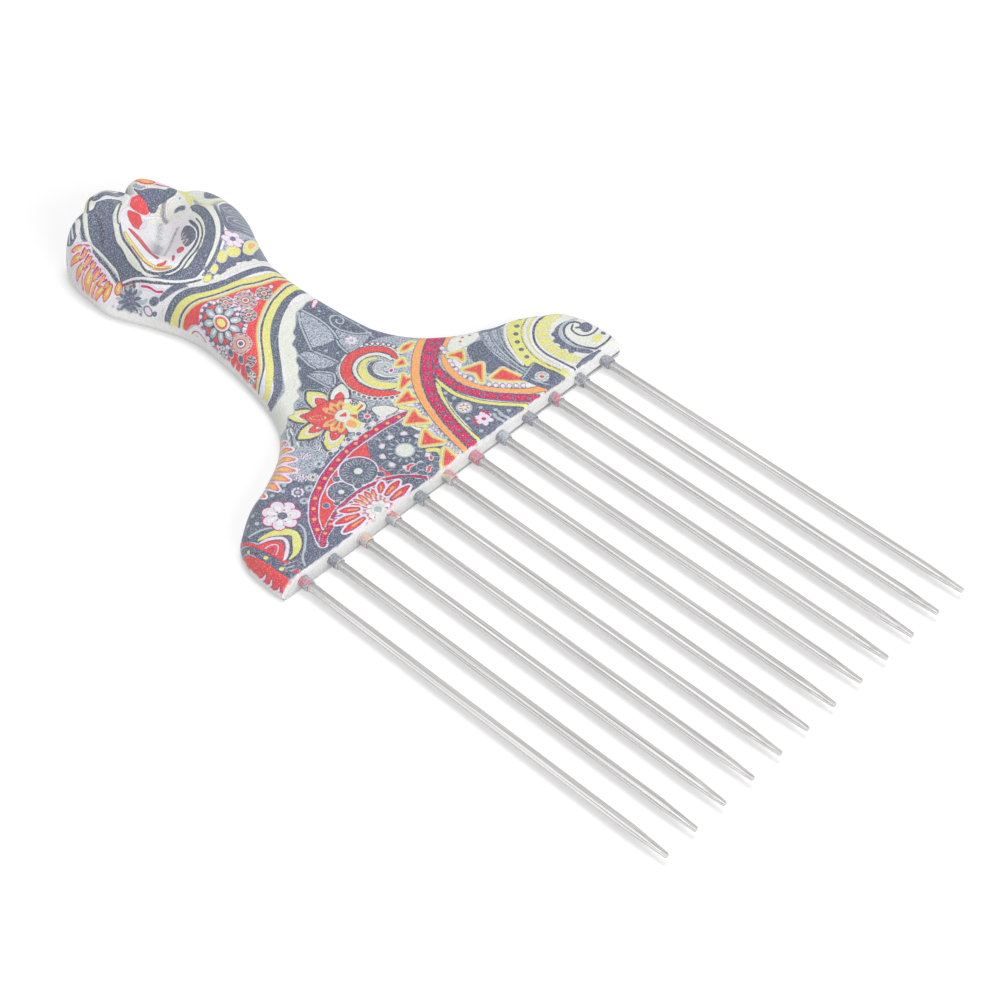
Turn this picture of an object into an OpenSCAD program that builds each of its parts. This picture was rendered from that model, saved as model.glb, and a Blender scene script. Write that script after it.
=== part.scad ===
// Afro pick: a row of steel pins moulded into one plastic handle with a raised fist at its end.
// The handle lies flat on its underside. The pins point along -Y and the fist is at the +Y end.

/* [Pins] */
// Number of pins in the row
pin_count = 12; // [6:1:16]
// Spacing of neighbouring pins
pin_pitch = 6.6; // [5:0.1:9]
// Diameter of a pin
pin_d = 1.6; // [1.2:0.1:2]
// Length of a pin from the end face of the head to its tip
pin_out = 78.3; // [50:0.1:110]
// Height of the pins' axes above the flat underside
pin_axis_h = 1.75; // [1.5:0.05:2.2]
// Length of the taper at the tip of a pin
tip_len = 7; // [4:0.5:12]
// Diameter of a pin's flat blunt end
tip_d = 0.95; // [0.6:0.05:1.1]
// Radius that eases the edge of the blunt end
tip_edge_r = 0.15; // [0.05:0.05:0.25]

/* [Pin roots] */
// Length of a pin that is buried in the head
root_len = 9; // [6:0.5:10]
// Number of grip grooves round a buried root
groove_count = 2; // [1:1:3]
// Depth of a grip groove
groove_depth = 0.2; // [0.1:0.05:0.3]
// Width of a grip groove
groove_w = 1; // [0.6:0.1:1.4]
// Gap between a root and its bore, nothing where the plastic is moulded round the steel
root_gap = 0; // [0:0.01:0.05]
// Outer diameter of the collar moulded round each pin
boss_d = 2.15; // [2.1:0.05:2.6]
// Length of a collar in front of the end face
boss_len = 2; // [1:0.1:3]
// Radius of a collar's rounded front rim
boss_rim_r = 0.2; // [0.05:0.05:0.25]
// Length of a collar's plug inside the head, which joins the two
boss_seat = 1.2; // [0.8:0.1:2]

/* [Head] */
// Thickness of the head at its end face
head_t = 4.4; // [4:0.1:6]
// Distance from an end pin's axis to the side of the head
head_margin = 4.7; // [3.5:0.1:8]
// Length of the flared head, from its end face to the neck
flare_len = 34; // [28:1:44]

/* [Handle] */
// Length of the handle from its end face to the end of the fist
handle_len = 91; // [85:1:120]
// Width of the neck, just behind the head
neck_w = 26; // [18:0.2:32]
// Thickness of the neck
neck_t = 4.4; // [4:0.1:8]
// Width of the wrist, its narrowest place
wrist_w = 21; // [16:0.2:28]
// Thickness of the wrist
wrist_t = 8.7; // [7:0.1:11]
// Distance from the end face to the narrowest place of the wrist
wrist_y = 55; // [48:1:60]
// Width of the fist
fist_w = 32.5; // [26:0.5:40]
// Thickness of the fist, without the rolls of its fingers
fist_t = 9.7; // [8.5:0.1:13]

/* [Rounding] */
// Reach of the rounded top edge on the head
head_round = 2; // [0.8:0.1:2.4]
// Reach of the rounded top edge on the folded fingers' side of the fist
finger_round = 4.5; // [3.5:0.1:8]
// Reach of the rounded top edge on the thumb's side of the fist
thumb_round = 5.8; // [4:0.1:8]
// Reach of the rounded top edge at the end of the fist, on the fingers' side
finger_end_round = 2.9; // [2:0.1:6]
// Reach of the rounded top edge at the end of the fist, on the thumb's side
thumb_end_round = 5.4; // [3:0.1:7]
// Reach of the rounded bottom edge on the head
head_under = 0.5; // [0.3:0.1:0.9]
// Reach of the rounded bottom edge on the fist
fist_under = 1.4; // [0.8:0.1:2.2]

/* [Hidden] */
// Half widths, and the ends of the handle's stretches along Y, from the end face
head_half = (pin_count - 1) * pin_pitch / 2 + head_margin;
neck_half = neck_w / 2;
wrist_half = wrist_w / 2;
fist_half = fist_w / 2;
fist_len = handle_len - wrist_y;
// Depth of the fist's round end, as a share of the fist's half width
crown_len_share = 0.84;
crown_len = fist_half * crown_len_share;
crown_y = handle_len - crown_len;
neck_len = wrist_y - flare_len;

// The origin is under the middle of the whole object, on the flat underside
face_y = (pin_out - handle_len) / 2;

// Head's side as shares: along the flare, and from the neck's half width to the head's
flare_shares = [
    [0, 0.99], [0.09, 1], [0.244, 0.985], [0.356, 0.924], [0.414, 0.843],
    [0.492, 0.702], [0.556, 0.514], [0.662, 0.283], [0.809, 0.104], [1, 0]
];
// The same from the neck to the wrist, and from the wrist to where the fist's round end starts
wrist_shares = [[0.8, 0.5], [1, 1]];
fist_shares = [[0.39, 0.358], [1, 0.746], [1, 1]];

// Rounded rolls of the fist, one a row: start x and y, end x and y, radius, rise. Across are shares
// of the fist's half width, along are shares of its length, and a rise is a share of its thickness.
// A minus rise is a hollow.
roll_shares = [
    [-0.36, 0.78, -0.60, 0.40, 0.30, 0.34],
    [0.50, 0.44, -0.12, 0.27, 0.28, 0.18],
    [-0.60, 0.84, -0.52, 0.90, 0.20, 0.28],
    [-0.20, 0.86, -0.16, 0.92, 0.18, 0.21],
    [0.32, 0.76, 0.34, 0.88, 0.20, 0.30],
    [0.30, 0.82, 0.12, 0.66, 0.16, -0.10],
    [0.12, 0.66, -0.08, 0.52, 0.24, -0.20],
    [-0.08, 0.52, -0.26, 0.42, 0.19, -0.18]
];

// Dips between the knuckles along the fist's end: place across and width as shares of its half
// width, depth as a share of the crown's length
dip_shares = [[-0.55, 0.12, 0.16], [0.11, 0.05, 0.19], [0.57, 0.16, 0.18]];

// How full the two corners of the fist's end are, as the powers of its curve
finger_corner = 2.6;
thumb_corner = 1.32;

// Bulge of the thumb's side of the fist: where along the fist, how long and how far out, as shares
// of the fist's length, its length and its half width
thumb_shares = [0.45, 0.3, 0.055];

// Steps of the handle's surface, between two control points on the head and on the fist, across
// the handle and round the edge of its underside
head_steps = 3;
fist_steps = 8;
column_count = 32;
under_steps = 3;

// Crown of the neck, wrist and fist, as the share of the thickness that is lost at the sides
crown_share = 0.16;
// Height of the widest line of the walls, as a share of the thickness
head_waist_share = 0.26;
fist_waist_share = 0.16;
// Part of the flare, from its end face, over which the head keeps its thickness
level_share = 0.4;
// Part of the fist, from the wrist, over which it thickens
thicken_share = 0.4;
// How much closer together the surface's columns lie near the sides
crowding_share = 0.8;

// How far the cut of a bore runs on past its collar
bore_overrun = 1;

function mix(a, b, t) = a + (b - a) * t;
function clamp(t) = min(1, max(0, t));
function ease(t) = let (c = clamp(t)) c * c * (3 - 2 * c);
function quarter_rise(t) = let (c = 1 - clamp(t)) sqrt(1 - c * c);

// Value of a smooth curve through four points, between the second and the third
function blend(a, b, c, d, t) =
    b + 0.5 * t * (c - a + t * (2 * a - 5 * b + 4 * c - d + t * (3 * (b - c) + d - a)));

// Control points down the +X side of the handle: half width and distance from the end face
side_points = concat(
    [for (s = flare_shares) [mix(neck_half, head_half, s[1]), flare_len * s[0]]],
    [for (s = wrist_shares) [mix(neck_half, wrist_half, s[0]), mix(flare_len, wrist_y, s[1])]],
    [for (s = fist_shares) [mix(wrist_half, fist_half, s[0]), mix(wrist_y, crown_y, s[1])]]
);
side_last = len(side_points) - 1;

function side_point(i) = side_points[min(side_last, max(0, i))];
function side_at(t) = let (i = min(side_last - 1, floor(t)))
    blend(side_point(i - 1), side_point(i), side_point(i + 1), side_point(i + 2), t - i);

// Rows of the surface: [half width, distance from the end face] at each step down the side
rows = concat(
    [for (i = [0:side_last - 1])
        let (steps = i < len(flare_shares) - 1 ? head_steps : fist_steps)
            for (k = [0:steps - 1]) side_at(i + k / steps)],
    [side_at(side_last)]
);
row_last = len(rows) - 1;

// Places across, from -1 to 1, closer together near the sides
columns = [for (k = [0:column_count])
    let (s = 2 * k / column_count - 1) mix(s, sin(90 * s), crowding_share)];

// The fist changes across its width, from its fingers' side at -1 to its thumb's side at 1
function across(fingers, thumb, u) = mix(fingers, thumb, ease((u + 1) / 2));

// The fist's end as a curve across its width
function crown_rise(u, dipped) = let (n = across(finger_corner, thumb_corner, u))
    crown_len * (pow(1 - pow(min(1, abs(u)), n), 1 / n) - dipped * dips(u));
function dips(u) = sum([for (d = dip_shares) d[2] * exp(-pow((u - d[0]) / d[1], 2))]);
function sum(list, i = 0) = i < len(list) ? list[i] + sum(list, i + 1) : 0;

// Place in plan of the surface at row k and place across u. The rows bend to the crown on the fist.
function bend(y) = ease((y - wrist_y) / (crown_y - wrist_y));
function thumb_out(y) = fist_half * thumb_shares[2]
    * exp(-pow(((y - wrist_y) / fist_len - thumb_shares[0]) / thumb_shares[1], 2));
function plan(k, u, dipped = 1) = let (y = rows[k][1])
    [rows[k][0] * u + max(0, u) * thumb_out(y), y + bend(y) * crown_rise(u, dipped)];

// How far along the handle's swell from head to fist
function swell(y) = ease((y - level_share * flare_len) / (crown_y - level_share * flare_len));

// Thickness of the handle along its length, before the fist's rolls
function thickness(y) =
    y < flare_len ? mix(head_t, neck_t, ease((y / flare_len - level_share) / (1 - level_share)))
    : y < wrist_y ? mix(neck_t, wrist_t, (y - flare_len) / neck_len)
    : mix(wrist_t, fist_t, ease((y - wrist_y) / (thicken_share * fist_len)));

// Distance from point p to the straight line between a and b
function reach(p, a, b) = let (ab = b - a, n = ab * ab, t = n > 0 ? clamp((p - a) * ab / n) : 0)
    norm(p - a - ab * t);
function roll_rise(p, r) = r[5] * fist_t * exp(-pow(reach(p,
    [r[0] * fist_half, wrist_y + r[1] * fist_len],
    [r[2] * fist_half, wrist_y + r[3] * fist_len]) / (r[4] * fist_half), 2));
function relief(p) = p[1] > wrist_y ? sum([for (r = roll_shares) roll_rise(p, r)]) : 0;

// Height of the walls' widest line
function waist(y) = thickness(y) * mix(head_waist_share, fist_waist_share, swell(y));

// Distances that a point on the top lies inside the sides and inside the fist's end
function side_lean(k) = let (d = rows[min(row_last, k + 1)] - rows[max(0, k - 1)]) d[1] / norm(d);
function side_inset(k, u) = (1 - abs(u)) * rows[k][0] * side_lean(k);
function end_inset(k, u) = plan(row_last, u)[1] - plan(k, u)[1];

function top_height(k, u) = let (
        p = plan(k, u),
        y = p[1],
        reach_in = mix(head_round, across(finger_round, thumb_round, u), swell(y)),
        end_reach = across(finger_end_round, thumb_end_round, u),
        flat = thickness(y) * (1 - crown_share * swell(y) * u * u) + relief(p)
    )
    mix(waist(rows[k][1]), flat,
        quarter_rise(side_inset(k, u) / reach_in) * quarter_rise(end_inset(k, u) / end_reach));

// Outline of the widest line: up the -X side, round the fist's end and down the +X side
function outline_loop(dipped) = concat(
    [for (k = [0:row_last]) plan(k, -1, dipped)],
    [for (c = [1:column_count - 1]) plan(row_last, columns[c], dipped)],
    [for (k = [row_last:-1:0]) plan(k, 1, dipped)]
);
outline = outline_loop(1);
plain_outline = outline_loop(0);
outline_waist = concat(
    [for (k = [0:row_last]) waist(rows[k][1])],
    [for (c = [1:column_count - 1]) waist(rows[row_last][1])],
    [for (k = [row_last:-1:0]) waist(rows[k][1])]
);
outline_last = len(outline) - 1;

// Direction into the handle, square to its outline without the dips, and along X at the end face
function inward(i) =
    i == 0 ? [1, 0]
    : i == outline_last ? [-1, 0]
    : let (d = plain_outline[i + 1] - plain_outline[i - 1]) [d[1], -d[0]] / norm(d);
function under_point(i, s) = let (
        a = 90 * s / under_steps,
        r = mix(head_under, fist_under, swell(outline[i][1])),
        p = outline[i] + inward(i) * r * (1 - cos(a))
    )
    [p[0], p[1], outline_waist[i] * (1 - sin(a))];

// Numbering of the surface's points: the top, row by row, then the rings of the underside
top_points = [for (k = [0:row_last]) for (u = columns)
    let (p = plan(k, u)) [p[0], p[1], top_height(k, u)]];
under_points = [for (s = [1:under_steps]) for (i = [0:outline_last]) under_point(i, s)];
function top_index(k, c) = k * (column_count + 1) + c;
function edge_index(i) =
    i <= row_last ? top_index(i, 0)
    : i < row_last + column_count ? top_index(row_last, i - row_last)
    : top_index(outline_last - i, column_count);
function ring_index(s, i) = s == 0 ? edge_index(i)
    : len(top_points) + (s - 1) * len(outline) + i;

// Two triangles between neighbouring points a and b of one line and d and e of the next
function two_faces(a, b, d, e) = [[a, d, e], [a, e, b]];
top_faces = [for (k = [0:row_last - 1]) for (c = [0:column_count - 1])
    each two_faces(top_index(k, c), top_index(k, c + 1), top_index(k + 1, c), top_index(k + 1, c + 1))];
under_faces = [for (s = [0:under_steps - 1]) for (i = [0:outline_last - 1])
    each two_faces(ring_index(s, i), ring_index(s, i + 1), ring_index(s + 1, i), ring_index(s + 1, i + 1))];

// The flat underside: strips between the two sides, then a fan round a hub on the fist's last row
hub = (under_point(row_last, under_steps) + under_point(outline_last - row_last, under_steps)) / 2;
hub_index = len(top_points) + len(under_points);
function left_index(k) = ring_index(under_steps, k);
function right_index(k) = ring_index(under_steps, outline_last - k);
flat_faces = concat(
    [for (k = [0:row_last - 2])
        each two_faces(right_index(k), left_index(k), right_index(k + 1), left_index(k + 1))],
    [
        [right_index(row_last - 1), right_index(row_last), hub_index],
        [right_index(row_last - 1), hub_index, left_index(row_last - 1)],
        [left_index(row_last - 1), hub_index, left_index(row_last)]
    ],
    [for (i = [row_last:outline_last - row_last - 1])
        [ring_index(under_steps, i + 1), ring_index(under_steps, i), hub_index]]
);

// The end face: a fan from one corner of its bottom edge
end_loop = concat(
    [for (s = [under_steps - 1:-1:1]) ring_index(s, 0)],
    [for (c = [0:column_count]) top_index(0, c)],
    [for (s = [1:under_steps]) ring_index(s, outline_last)]
);
end_faces = [for (i = [0:len(end_loop) - 2]) [left_index(0), end_loop[i], end_loop[i + 1]]];

// Buried stretch of a pin with its grip grooves, as a profile of radius and height. The wall
// grows by a gap all round to make the bore that it fits.
groove_step = root_len / (groove_count + 1);
function root_wall(gap) = let (r = pin_d / 2 + gap, g = r - groove_depth, h = groove_w / 2 - gap)
    concat(
        [for (n = [1:groove_count]) let (y = groove_step * n)
            each [[r, y - h], [g, y - h], [g, y + h], [r, y + h]]],
        [[r, root_len + gap], [0, root_len + gap]]
    );
// Eased edge of a round end, from the end at height y to the wall of radius r
function rim(r, edge_r, y) = [for (a = [90:-30:0])
    [r - edge_r * (1 - cos(a)), y + edge_r * (1 - sin(a))]];

// Turns a profile about Y at pin i's place in the row
module about_pin(i) {
    translate([(i - (pin_count + 1) / 2) * pin_pitch, face_y, pin_axis_h])
        rotate([-90, 0, 0])
            rotate_extrude($fn = 32)
                children();
}

module bore(i) {
    bore_start = -boss_len - bore_overrun;
    about_pin(i)
        polygon(concat([[0, bore_start], [pin_d / 2 + root_gap, bore_start]], root_wall(root_gap)));
}

module boss(i) {
    about_pin(i)
        polygon(concat(
            [[0, -boss_len]],
            rim(boss_d / 2, boss_rim_r, -boss_len),
            [[boss_d / 2, boss_seat], [0, boss_seat]]
        ));
}

module handle_body() {
    translate([0, face_y, 0])
        polyhedron(points = concat(top_points, under_points, [hub]),
            faces = concat(top_faces, under_faces, flat_faces, end_faces), convexity = 6);
}

module handle() {
    color("ghostwhite")
        difference() {
            union() {
                handle_body();
                for (i = [1:pin_count])
                    boss(i);
            }
            for (i = [1:pin_count])
                bore(i);
        }
}

module pin(i) {
    color("silver")
        about_pin(i)
            polygon(concat(
                [[0, -pin_out]],
                rim(tip_d / 2, tip_edge_r, -pin_out),
                [[pin_d / 2, tip_len - pin_out]],
                root_wall(0)
            ));
}

function pin_name(i) = str("pin_", i < 10 ? "0" : "", i);
handle();
for (i = [1:pin_count])
    pin(i);
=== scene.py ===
import math

import bpy
import numpy as np
from mathutils import Matrix, Vector


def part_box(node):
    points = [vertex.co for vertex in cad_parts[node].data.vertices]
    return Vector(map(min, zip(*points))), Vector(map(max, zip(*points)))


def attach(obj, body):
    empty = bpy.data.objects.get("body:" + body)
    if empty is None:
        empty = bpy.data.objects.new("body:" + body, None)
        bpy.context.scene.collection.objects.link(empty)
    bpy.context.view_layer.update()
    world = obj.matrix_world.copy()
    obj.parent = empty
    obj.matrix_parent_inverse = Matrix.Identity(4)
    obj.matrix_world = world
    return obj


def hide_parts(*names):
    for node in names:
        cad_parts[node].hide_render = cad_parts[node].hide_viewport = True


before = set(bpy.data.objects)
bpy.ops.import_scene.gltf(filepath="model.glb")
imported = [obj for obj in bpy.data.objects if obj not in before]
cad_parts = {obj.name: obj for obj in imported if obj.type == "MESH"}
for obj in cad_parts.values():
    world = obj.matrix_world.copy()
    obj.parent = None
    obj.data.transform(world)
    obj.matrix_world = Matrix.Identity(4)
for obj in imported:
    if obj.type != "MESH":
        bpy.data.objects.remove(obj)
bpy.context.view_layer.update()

# Camera: it looks down on the pick from beside the fist, over the handle and along the pins.
# Its place and lens come from matching the roots and tips of all twelve pins.
camera_place = Vector((-0.21596, -0.21886, 0.31168))
camera_right = Vector((0.69058, -0.72322, 0.00753)).normalized()
camera_forward = Vector((0.50227, 0.47206, -0.72449)).normalized()
camera_up = camera_right.cross(camera_forward)

camera_data = bpy.data.cameras.new("camera")
camera_data.sensor_width = 36
camera_data.lens = 92.34
camera_data.clip_end = 20
camera = bpy.data.objects.new("camera", camera_data)
camera.matrix_world = Matrix.Translation(camera_place) @ Matrix(
    (camera_right, camera_up, -camera_forward)).transposed().to_4x4()
bpy.context.scene.collection.objects.link(camera)
bpy.context.scene.camera = camera

# Table: a white sweep that the pick lies on. It shows as plain white, also far off, and keeps the
# soft shadow that the pick casts. Steel mirrors its glow only from a few millimetres off, so the
# undersides of the pins stay grey.
table_half = 1.5
table_drop = 0.00005
table_glow = 0.285
far_glow, far_from, far_to = 0.5, 0.2, 0.75
mirror_from, mirror_to = 0.0025, 0.005


def add_mesh(name, points, faces, materials):
    """A mesh object from points and faces, in the scene."""
    mesh = bpy.data.meshes.new(name)
    mesh.from_pydata(points, [], faces)
    for material in materials:
        mesh.materials.append(material)
    mesh.validate()
    obj = bpy.data.objects.new(name, mesh)
    bpy.context.scene.collection.objects.link(obj)
    return obj


def new_material(name):
    """A node material, its nodes, its links and its main shader."""
    material = bpy.data.materials.new(name)
    material.use_nodes = True
    nodes, links = material.node_tree.nodes, material.node_tree.links
    return material, nodes, links, nodes["Principled BSDF"]


def join(value, socket):
    """Links another node's socket to this one, or sets this one to a value."""
    if isinstance(value, bpy.types.NodeSocket):
        links.new(value, socket)
    else:
        socket.default_value = value


def sum_of(operation, a, b=0.0):
    """The result of a sum on two values."""
    node = nodes.new("ShaderNodeMath")
    node.operation = operation
    join(a, node.inputs[0])
    join(b, node.inputs[1])
    return node.outputs[0]


def ramp_of(value, low, high, to_low=0.0, to_high=1.0, kind="SMOOTHSTEP"):
    """A value carried from one range to another, by a smooth step or in proportion."""
    node = nodes.new("ShaderNodeMapRange")
    node.interpolation_type = kind
    join(value, node.inputs["Value"])
    for name, end in (("From Min", low), ("From Max", high), ("To Min", to_low), ("To Max", to_high)):
        join(end, node.inputs[name])
    return node.outputs["Result"]


table_white, nodes, links, shader = new_material("white_table")
shader.inputs["Base Color"].default_value = (0.8, 0.8, 0.81, 1)
shader.inputs["Roughness"].default_value = 0.9
shader.inputs["Specular IOR Level"].default_value = 0.1
ray = nodes.new("ShaderNodeLightPath").outputs
in_steel = ramp_of(ray["Ray Length"], mirror_from, mirror_to, 0, ray["Is Glossy Ray"], "LINEAR")
from_middle = nodes.new("ShaderNodeVectorMath")
from_middle.operation = "LENGTH"
links.new(nodes.new("ShaderNodeTexCoord").outputs["Object"], from_middle.inputs[0])
level = ramp_of(from_middle.outputs["Value"], far_from, far_to, table_glow, table_glow + far_glow, "LINEAR")
glow = nodes.new("ShaderNodeEmission")
shown = sum_of("MAXIMUM", ray["Is Camera Ray"], in_steel)
links.new(sum_of("MULTIPLY", shown, level), glow.inputs["Strength"])
lit_and_glowing = nodes.new("ShaderNodeAddShader")
links.new(shader.outputs[0], lit_and_glowing.inputs[0])
links.new(glow.outputs[0], lit_and_glowing.inputs[1])
links.new(lit_and_glowing.outputs[0], nodes["Material Output"].inputs["Surface"])
corners = [(x * table_half, y * table_half, -table_drop) for x, y in ((-1, -1), (1, -1), (1, 1), (-1, 1))]
table = add_mesh("table", corners, [(0, 1, 2, 3)], [table_white])

# Light: a broad soft box nearly overhead, a little towards the thumb's side, a fill from the
# pins' side, and an even white room. Steel mirrors the room too, which is duller on the lamp's
# side and has a dark skirting low on the other, as a photographer's tent has.
room_level = 0.46
tent_dull, tent_bright, skirting = 0.74, 1.2, 0.26
bright_to, dull_from = -0.42, -0.1
skirting_foot, skirting_top = (0.16, 0.26), (0.34, 0.44)
skirting_ends = (-0.6, -0.35)
world = bpy.data.worlds.new("white_room")
bpy.context.scene.world = world
world.use_nodes = True
nodes, links = world.node_tree.nodes, world.node_tree.links
room = nodes["Background"]
room.inputs["Color"].default_value = (1, 1, 1, 1)
ray = nodes.new("ShaderNodeLightPath").outputs
way = nodes.new("ShaderNodeSeparateXYZ")
links.new(nodes.new("ShaderNodeTexCoord").outputs["Generated"], way.inputs[0])
tent = ramp_of(way.outputs["X"], bright_to, dull_from, tent_bright, tent_dull)
in_skirting = sum_of("MULTIPLY", ramp_of(way.outputs["Z"], *skirting_foot),
                     ramp_of(way.outputs["Z"], *skirting_top, 1, 0))
in_skirting = sum_of("MULTIPLY", in_skirting, ramp_of(way.outputs["X"], *skirting_ends, 1, 0))
tent = sum_of("MULTIPLY", tent, ramp_of(in_skirting, 0, 1, 1, skirting))
plain_room = ramp_of(ray["Is Camera Ray"], 0, 1, room_level, 1, "LINEAR")
links.new(ramp_of(ray["Is Glossy Ray"], 0, 1, plain_room, tent, "LINEAR"), room.inputs["Strength"])


def add_lamp(name, place, width, power):
    """A square soft box that faces the middle of the pick."""
    data = bpy.data.lights.new(name, "AREA")
    data.size = width
    data.energy = power
    lamp = bpy.data.objects.new(name, data)
    lamp.location = place
    lamp.rotation_euler = (-Vector(place)).to_track_quat("-Z", "Y").to_euler()
    lamp.visible_glossy = False
    bpy.context.scene.collection.objects.link(lamp)


add_lamp("key_lamp", (0.2, 0.06, 0.9), width=0.5, power=3.6)
add_lamp("fill_lamp", (-0.1, -0.75, 0.3), width=0.6, power=4.2)

# Handle: one white plastic moulding, flat below and rounded above, that widens from the wrist to
# the head on one side and swells into a raised fist on the other. The print on it is dipped on
# after moulding, so it runs over the edges and fades out low on the walls.
mm = 0.001
collar_len = 2.0
handle_low, handle_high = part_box("handle")
head_half = handle_high.x / mm
end_face_y = handle_low.y / mm + collar_len
handle_len = handle_high.y / mm - end_face_y
flare_len, wrist_y = 34.0, 55.0
neck_half, wrist_half, fist_half = 13.0, 10.5, 16.25
head_t, neck_t, wrist_t, fist_t = 4.4, 4.4, 8.7, 9.7
head_round, finger_round, thumb_round = 2.0, 4.5, 5.8
finger_end_round, thumb_end_round = 2.9, 5.4
head_under, fist_under = 0.5, 1.4
front_edge = 0.25
fist_len = handle_len - wrist_y
crown_len = 0.84 * fist_half
crown_y = handle_len - crown_len

# Shares of the side's shape: along and out on the flare, out and along on the wrist and fist
flare_shares = [(0, 0.99), (0.09, 1), (0.244, 0.985), (0.356, 0.924), (0.414, 0.843),
                (0.492, 0.702), (0.556, 0.514), (0.662, 0.283), (0.809, 0.104), (1, 0)]
wrist_shares = [(0.8, 0.5), (1, 1)]
fist_shares = [(0.39, 0.358), (1, 0.746), (1, 1)]
# Rolls of the fingers and hollows of the palm: start, end, radius and rise, as shares
roll_shares = [
    (-0.36, 0.78, -0.60, 0.40, 0.30, 0.34), (0.50, 0.44, -0.12, 0.27, 0.28, 0.18),
    (-0.60, 0.84, -0.52, 0.90, 0.20, 0.28), (-0.20, 0.86, -0.16, 0.92, 0.18, 0.21),
    (0.32, 0.76, 0.34, 0.88, 0.20, 0.30), (0.30, 0.82, 0.12, 0.66, 0.16, -0.10),
    (0.12, 0.66, -0.08, 0.52, 0.24, -0.20), (-0.08, 0.52, -0.26, 0.42, 0.19, -0.18)]
# Dips between the knuckles: place across, width and depth, as shares
dip_shares = [(-0.55, 0.12, 0.16), (0.11, 0.05, 0.19), (0.57, 0.16, 0.18)]
finger_corner, thumb_corner = 2.6, 1.32
thumb_place, thumb_reach, thumb_bulge = 0.45, 0.3, 0.055
head_waist, fist_waist, crown_share = 0.26, 0.16, 0.16
swell_from, wrist_swell = 0.4 * flare_len, 0.4 * fist_len
# How much of the walls' height the flattened-out print takes up beside the top
wall_stretch = 0.65


def mix(a, b, t):
    """The value at share t between a and b."""
    return a + (b - a) * t


def ease(t):
    """A smooth step from 0 to 1."""
    t = np.clip(t, 0, 1)
    return t * t * (3 - 2 * t)


def quarter_rise(t):
    """The height of a quarter circle at share t of its reach."""
    return np.sqrt(1 - (1 - np.clip(t, 0, 1)) ** 2)


def between(a, b, c, d, t):
    """The point at share t of the smooth curve from b to c, on its way from a to d."""
    return b + 0.5 * t * (c - a + t * (2 * a - 5 * b + 4 * c - d + t * (3 * (b - c) + d - a)))


side_points = np.array(
    [(mix(neck_half, head_half, out), flare_len * along) for along, out in flare_shares]
    + [(mix(neck_half, wrist_half, a), mix(flare_len, wrist_y, b)) for a, b in wrist_shares]
    + [(mix(wrist_half, fist_half, a), mix(wrist_y, crown_y, b)) for a, b in fist_shares])
side_last = len(side_points) - 1


def side_at(t):
    """Half width and distance from the end face at place t down the side's smooth curve."""
    i = np.clip(np.floor(t).astype(int), 0, side_last - 1)
    t = (t - i)[..., None]
    p = between(*(side_points[np.clip(i + n, 0, side_last)] for n in (-1, 0, 1, 2)), t)
    return p[..., 0], p[..., 1]


def swell(y):
    """How far the section has turned from the head's into the fist's."""
    return ease((y - swell_from) / (crown_y - swell_from))


def thickness(y):
    """The moulding's thickness on its middle line."""
    flare = mix(head_t, neck_t, ease((y - swell_from) / (flare_len - swell_from)))
    neck = mix(neck_t, wrist_t, (y - flare_len) / (wrist_y - flare_len))
    fist = mix(wrist_t, fist_t, ease((y - wrist_y) / wrist_swell))
    return np.where(y < flare_len, flare, np.where(y < wrist_y, neck, fist))


def waist(y):
    """The height of the widest line of the walls."""
    return thickness(y) * mix(head_waist, fist_waist, swell(y))


def relief(x, y):
    """Rise of the rolls and hollows of the fist."""
    rise = np.zeros_like(x)
    for x1, y1, x2, y2, radius, height in roll_shares:
        start = np.array([x1 * fist_half, wrist_y + y1 * fist_len])
        line = np.array([x2 * fist_half, wrist_y + y2 * fist_len]) - start
        t = np.clip(((x - start[0]) * line[0] + (y - start[1]) * line[1]) / (line @ line), 0, 1)
        gap = np.hypot(x - start[0] - line[0] * t, y - start[1] - line[1] * t)
        rise += height * fist_t * np.exp(-(gap / (radius * fist_half)) ** 2)
    return np.where(y > wrist_y, rise, 0)


def across(fingers, thumb, u):
    """A size that changes from the fingers' side to the thumb's."""
    return mix(fingers, thumb, ease((u + 1) / 2))


def crown_rise(u, dipped):
    """How far the fist's round end stands out, with or without the dips between the knuckles."""
    power = across(finger_corner, thumb_corner, u)
    dips = sum(depth * np.exp(-((u - at) / width) ** 2) for at, width, depth in dip_shares)
    return crown_len * ((1 - np.minimum(1, abs(u)) ** power) ** (1 / power) - dipped * dips)


def plan(t, u, dipped=1):
    """Place in plan at t down the side and u across. The rows bend to the fist's round end."""
    half, y = side_at(t)
    thumb = fist_half * thumb_bulge * np.exp(
        -(((y - wrist_y) / fist_len - thumb_place) / thumb_reach) ** 2)
    bend = ease((y - wrist_y) / (crown_y - wrist_y))
    return half * u + np.maximum(0, u) * thumb, y + bend * crown_rise(u, dipped)


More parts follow.
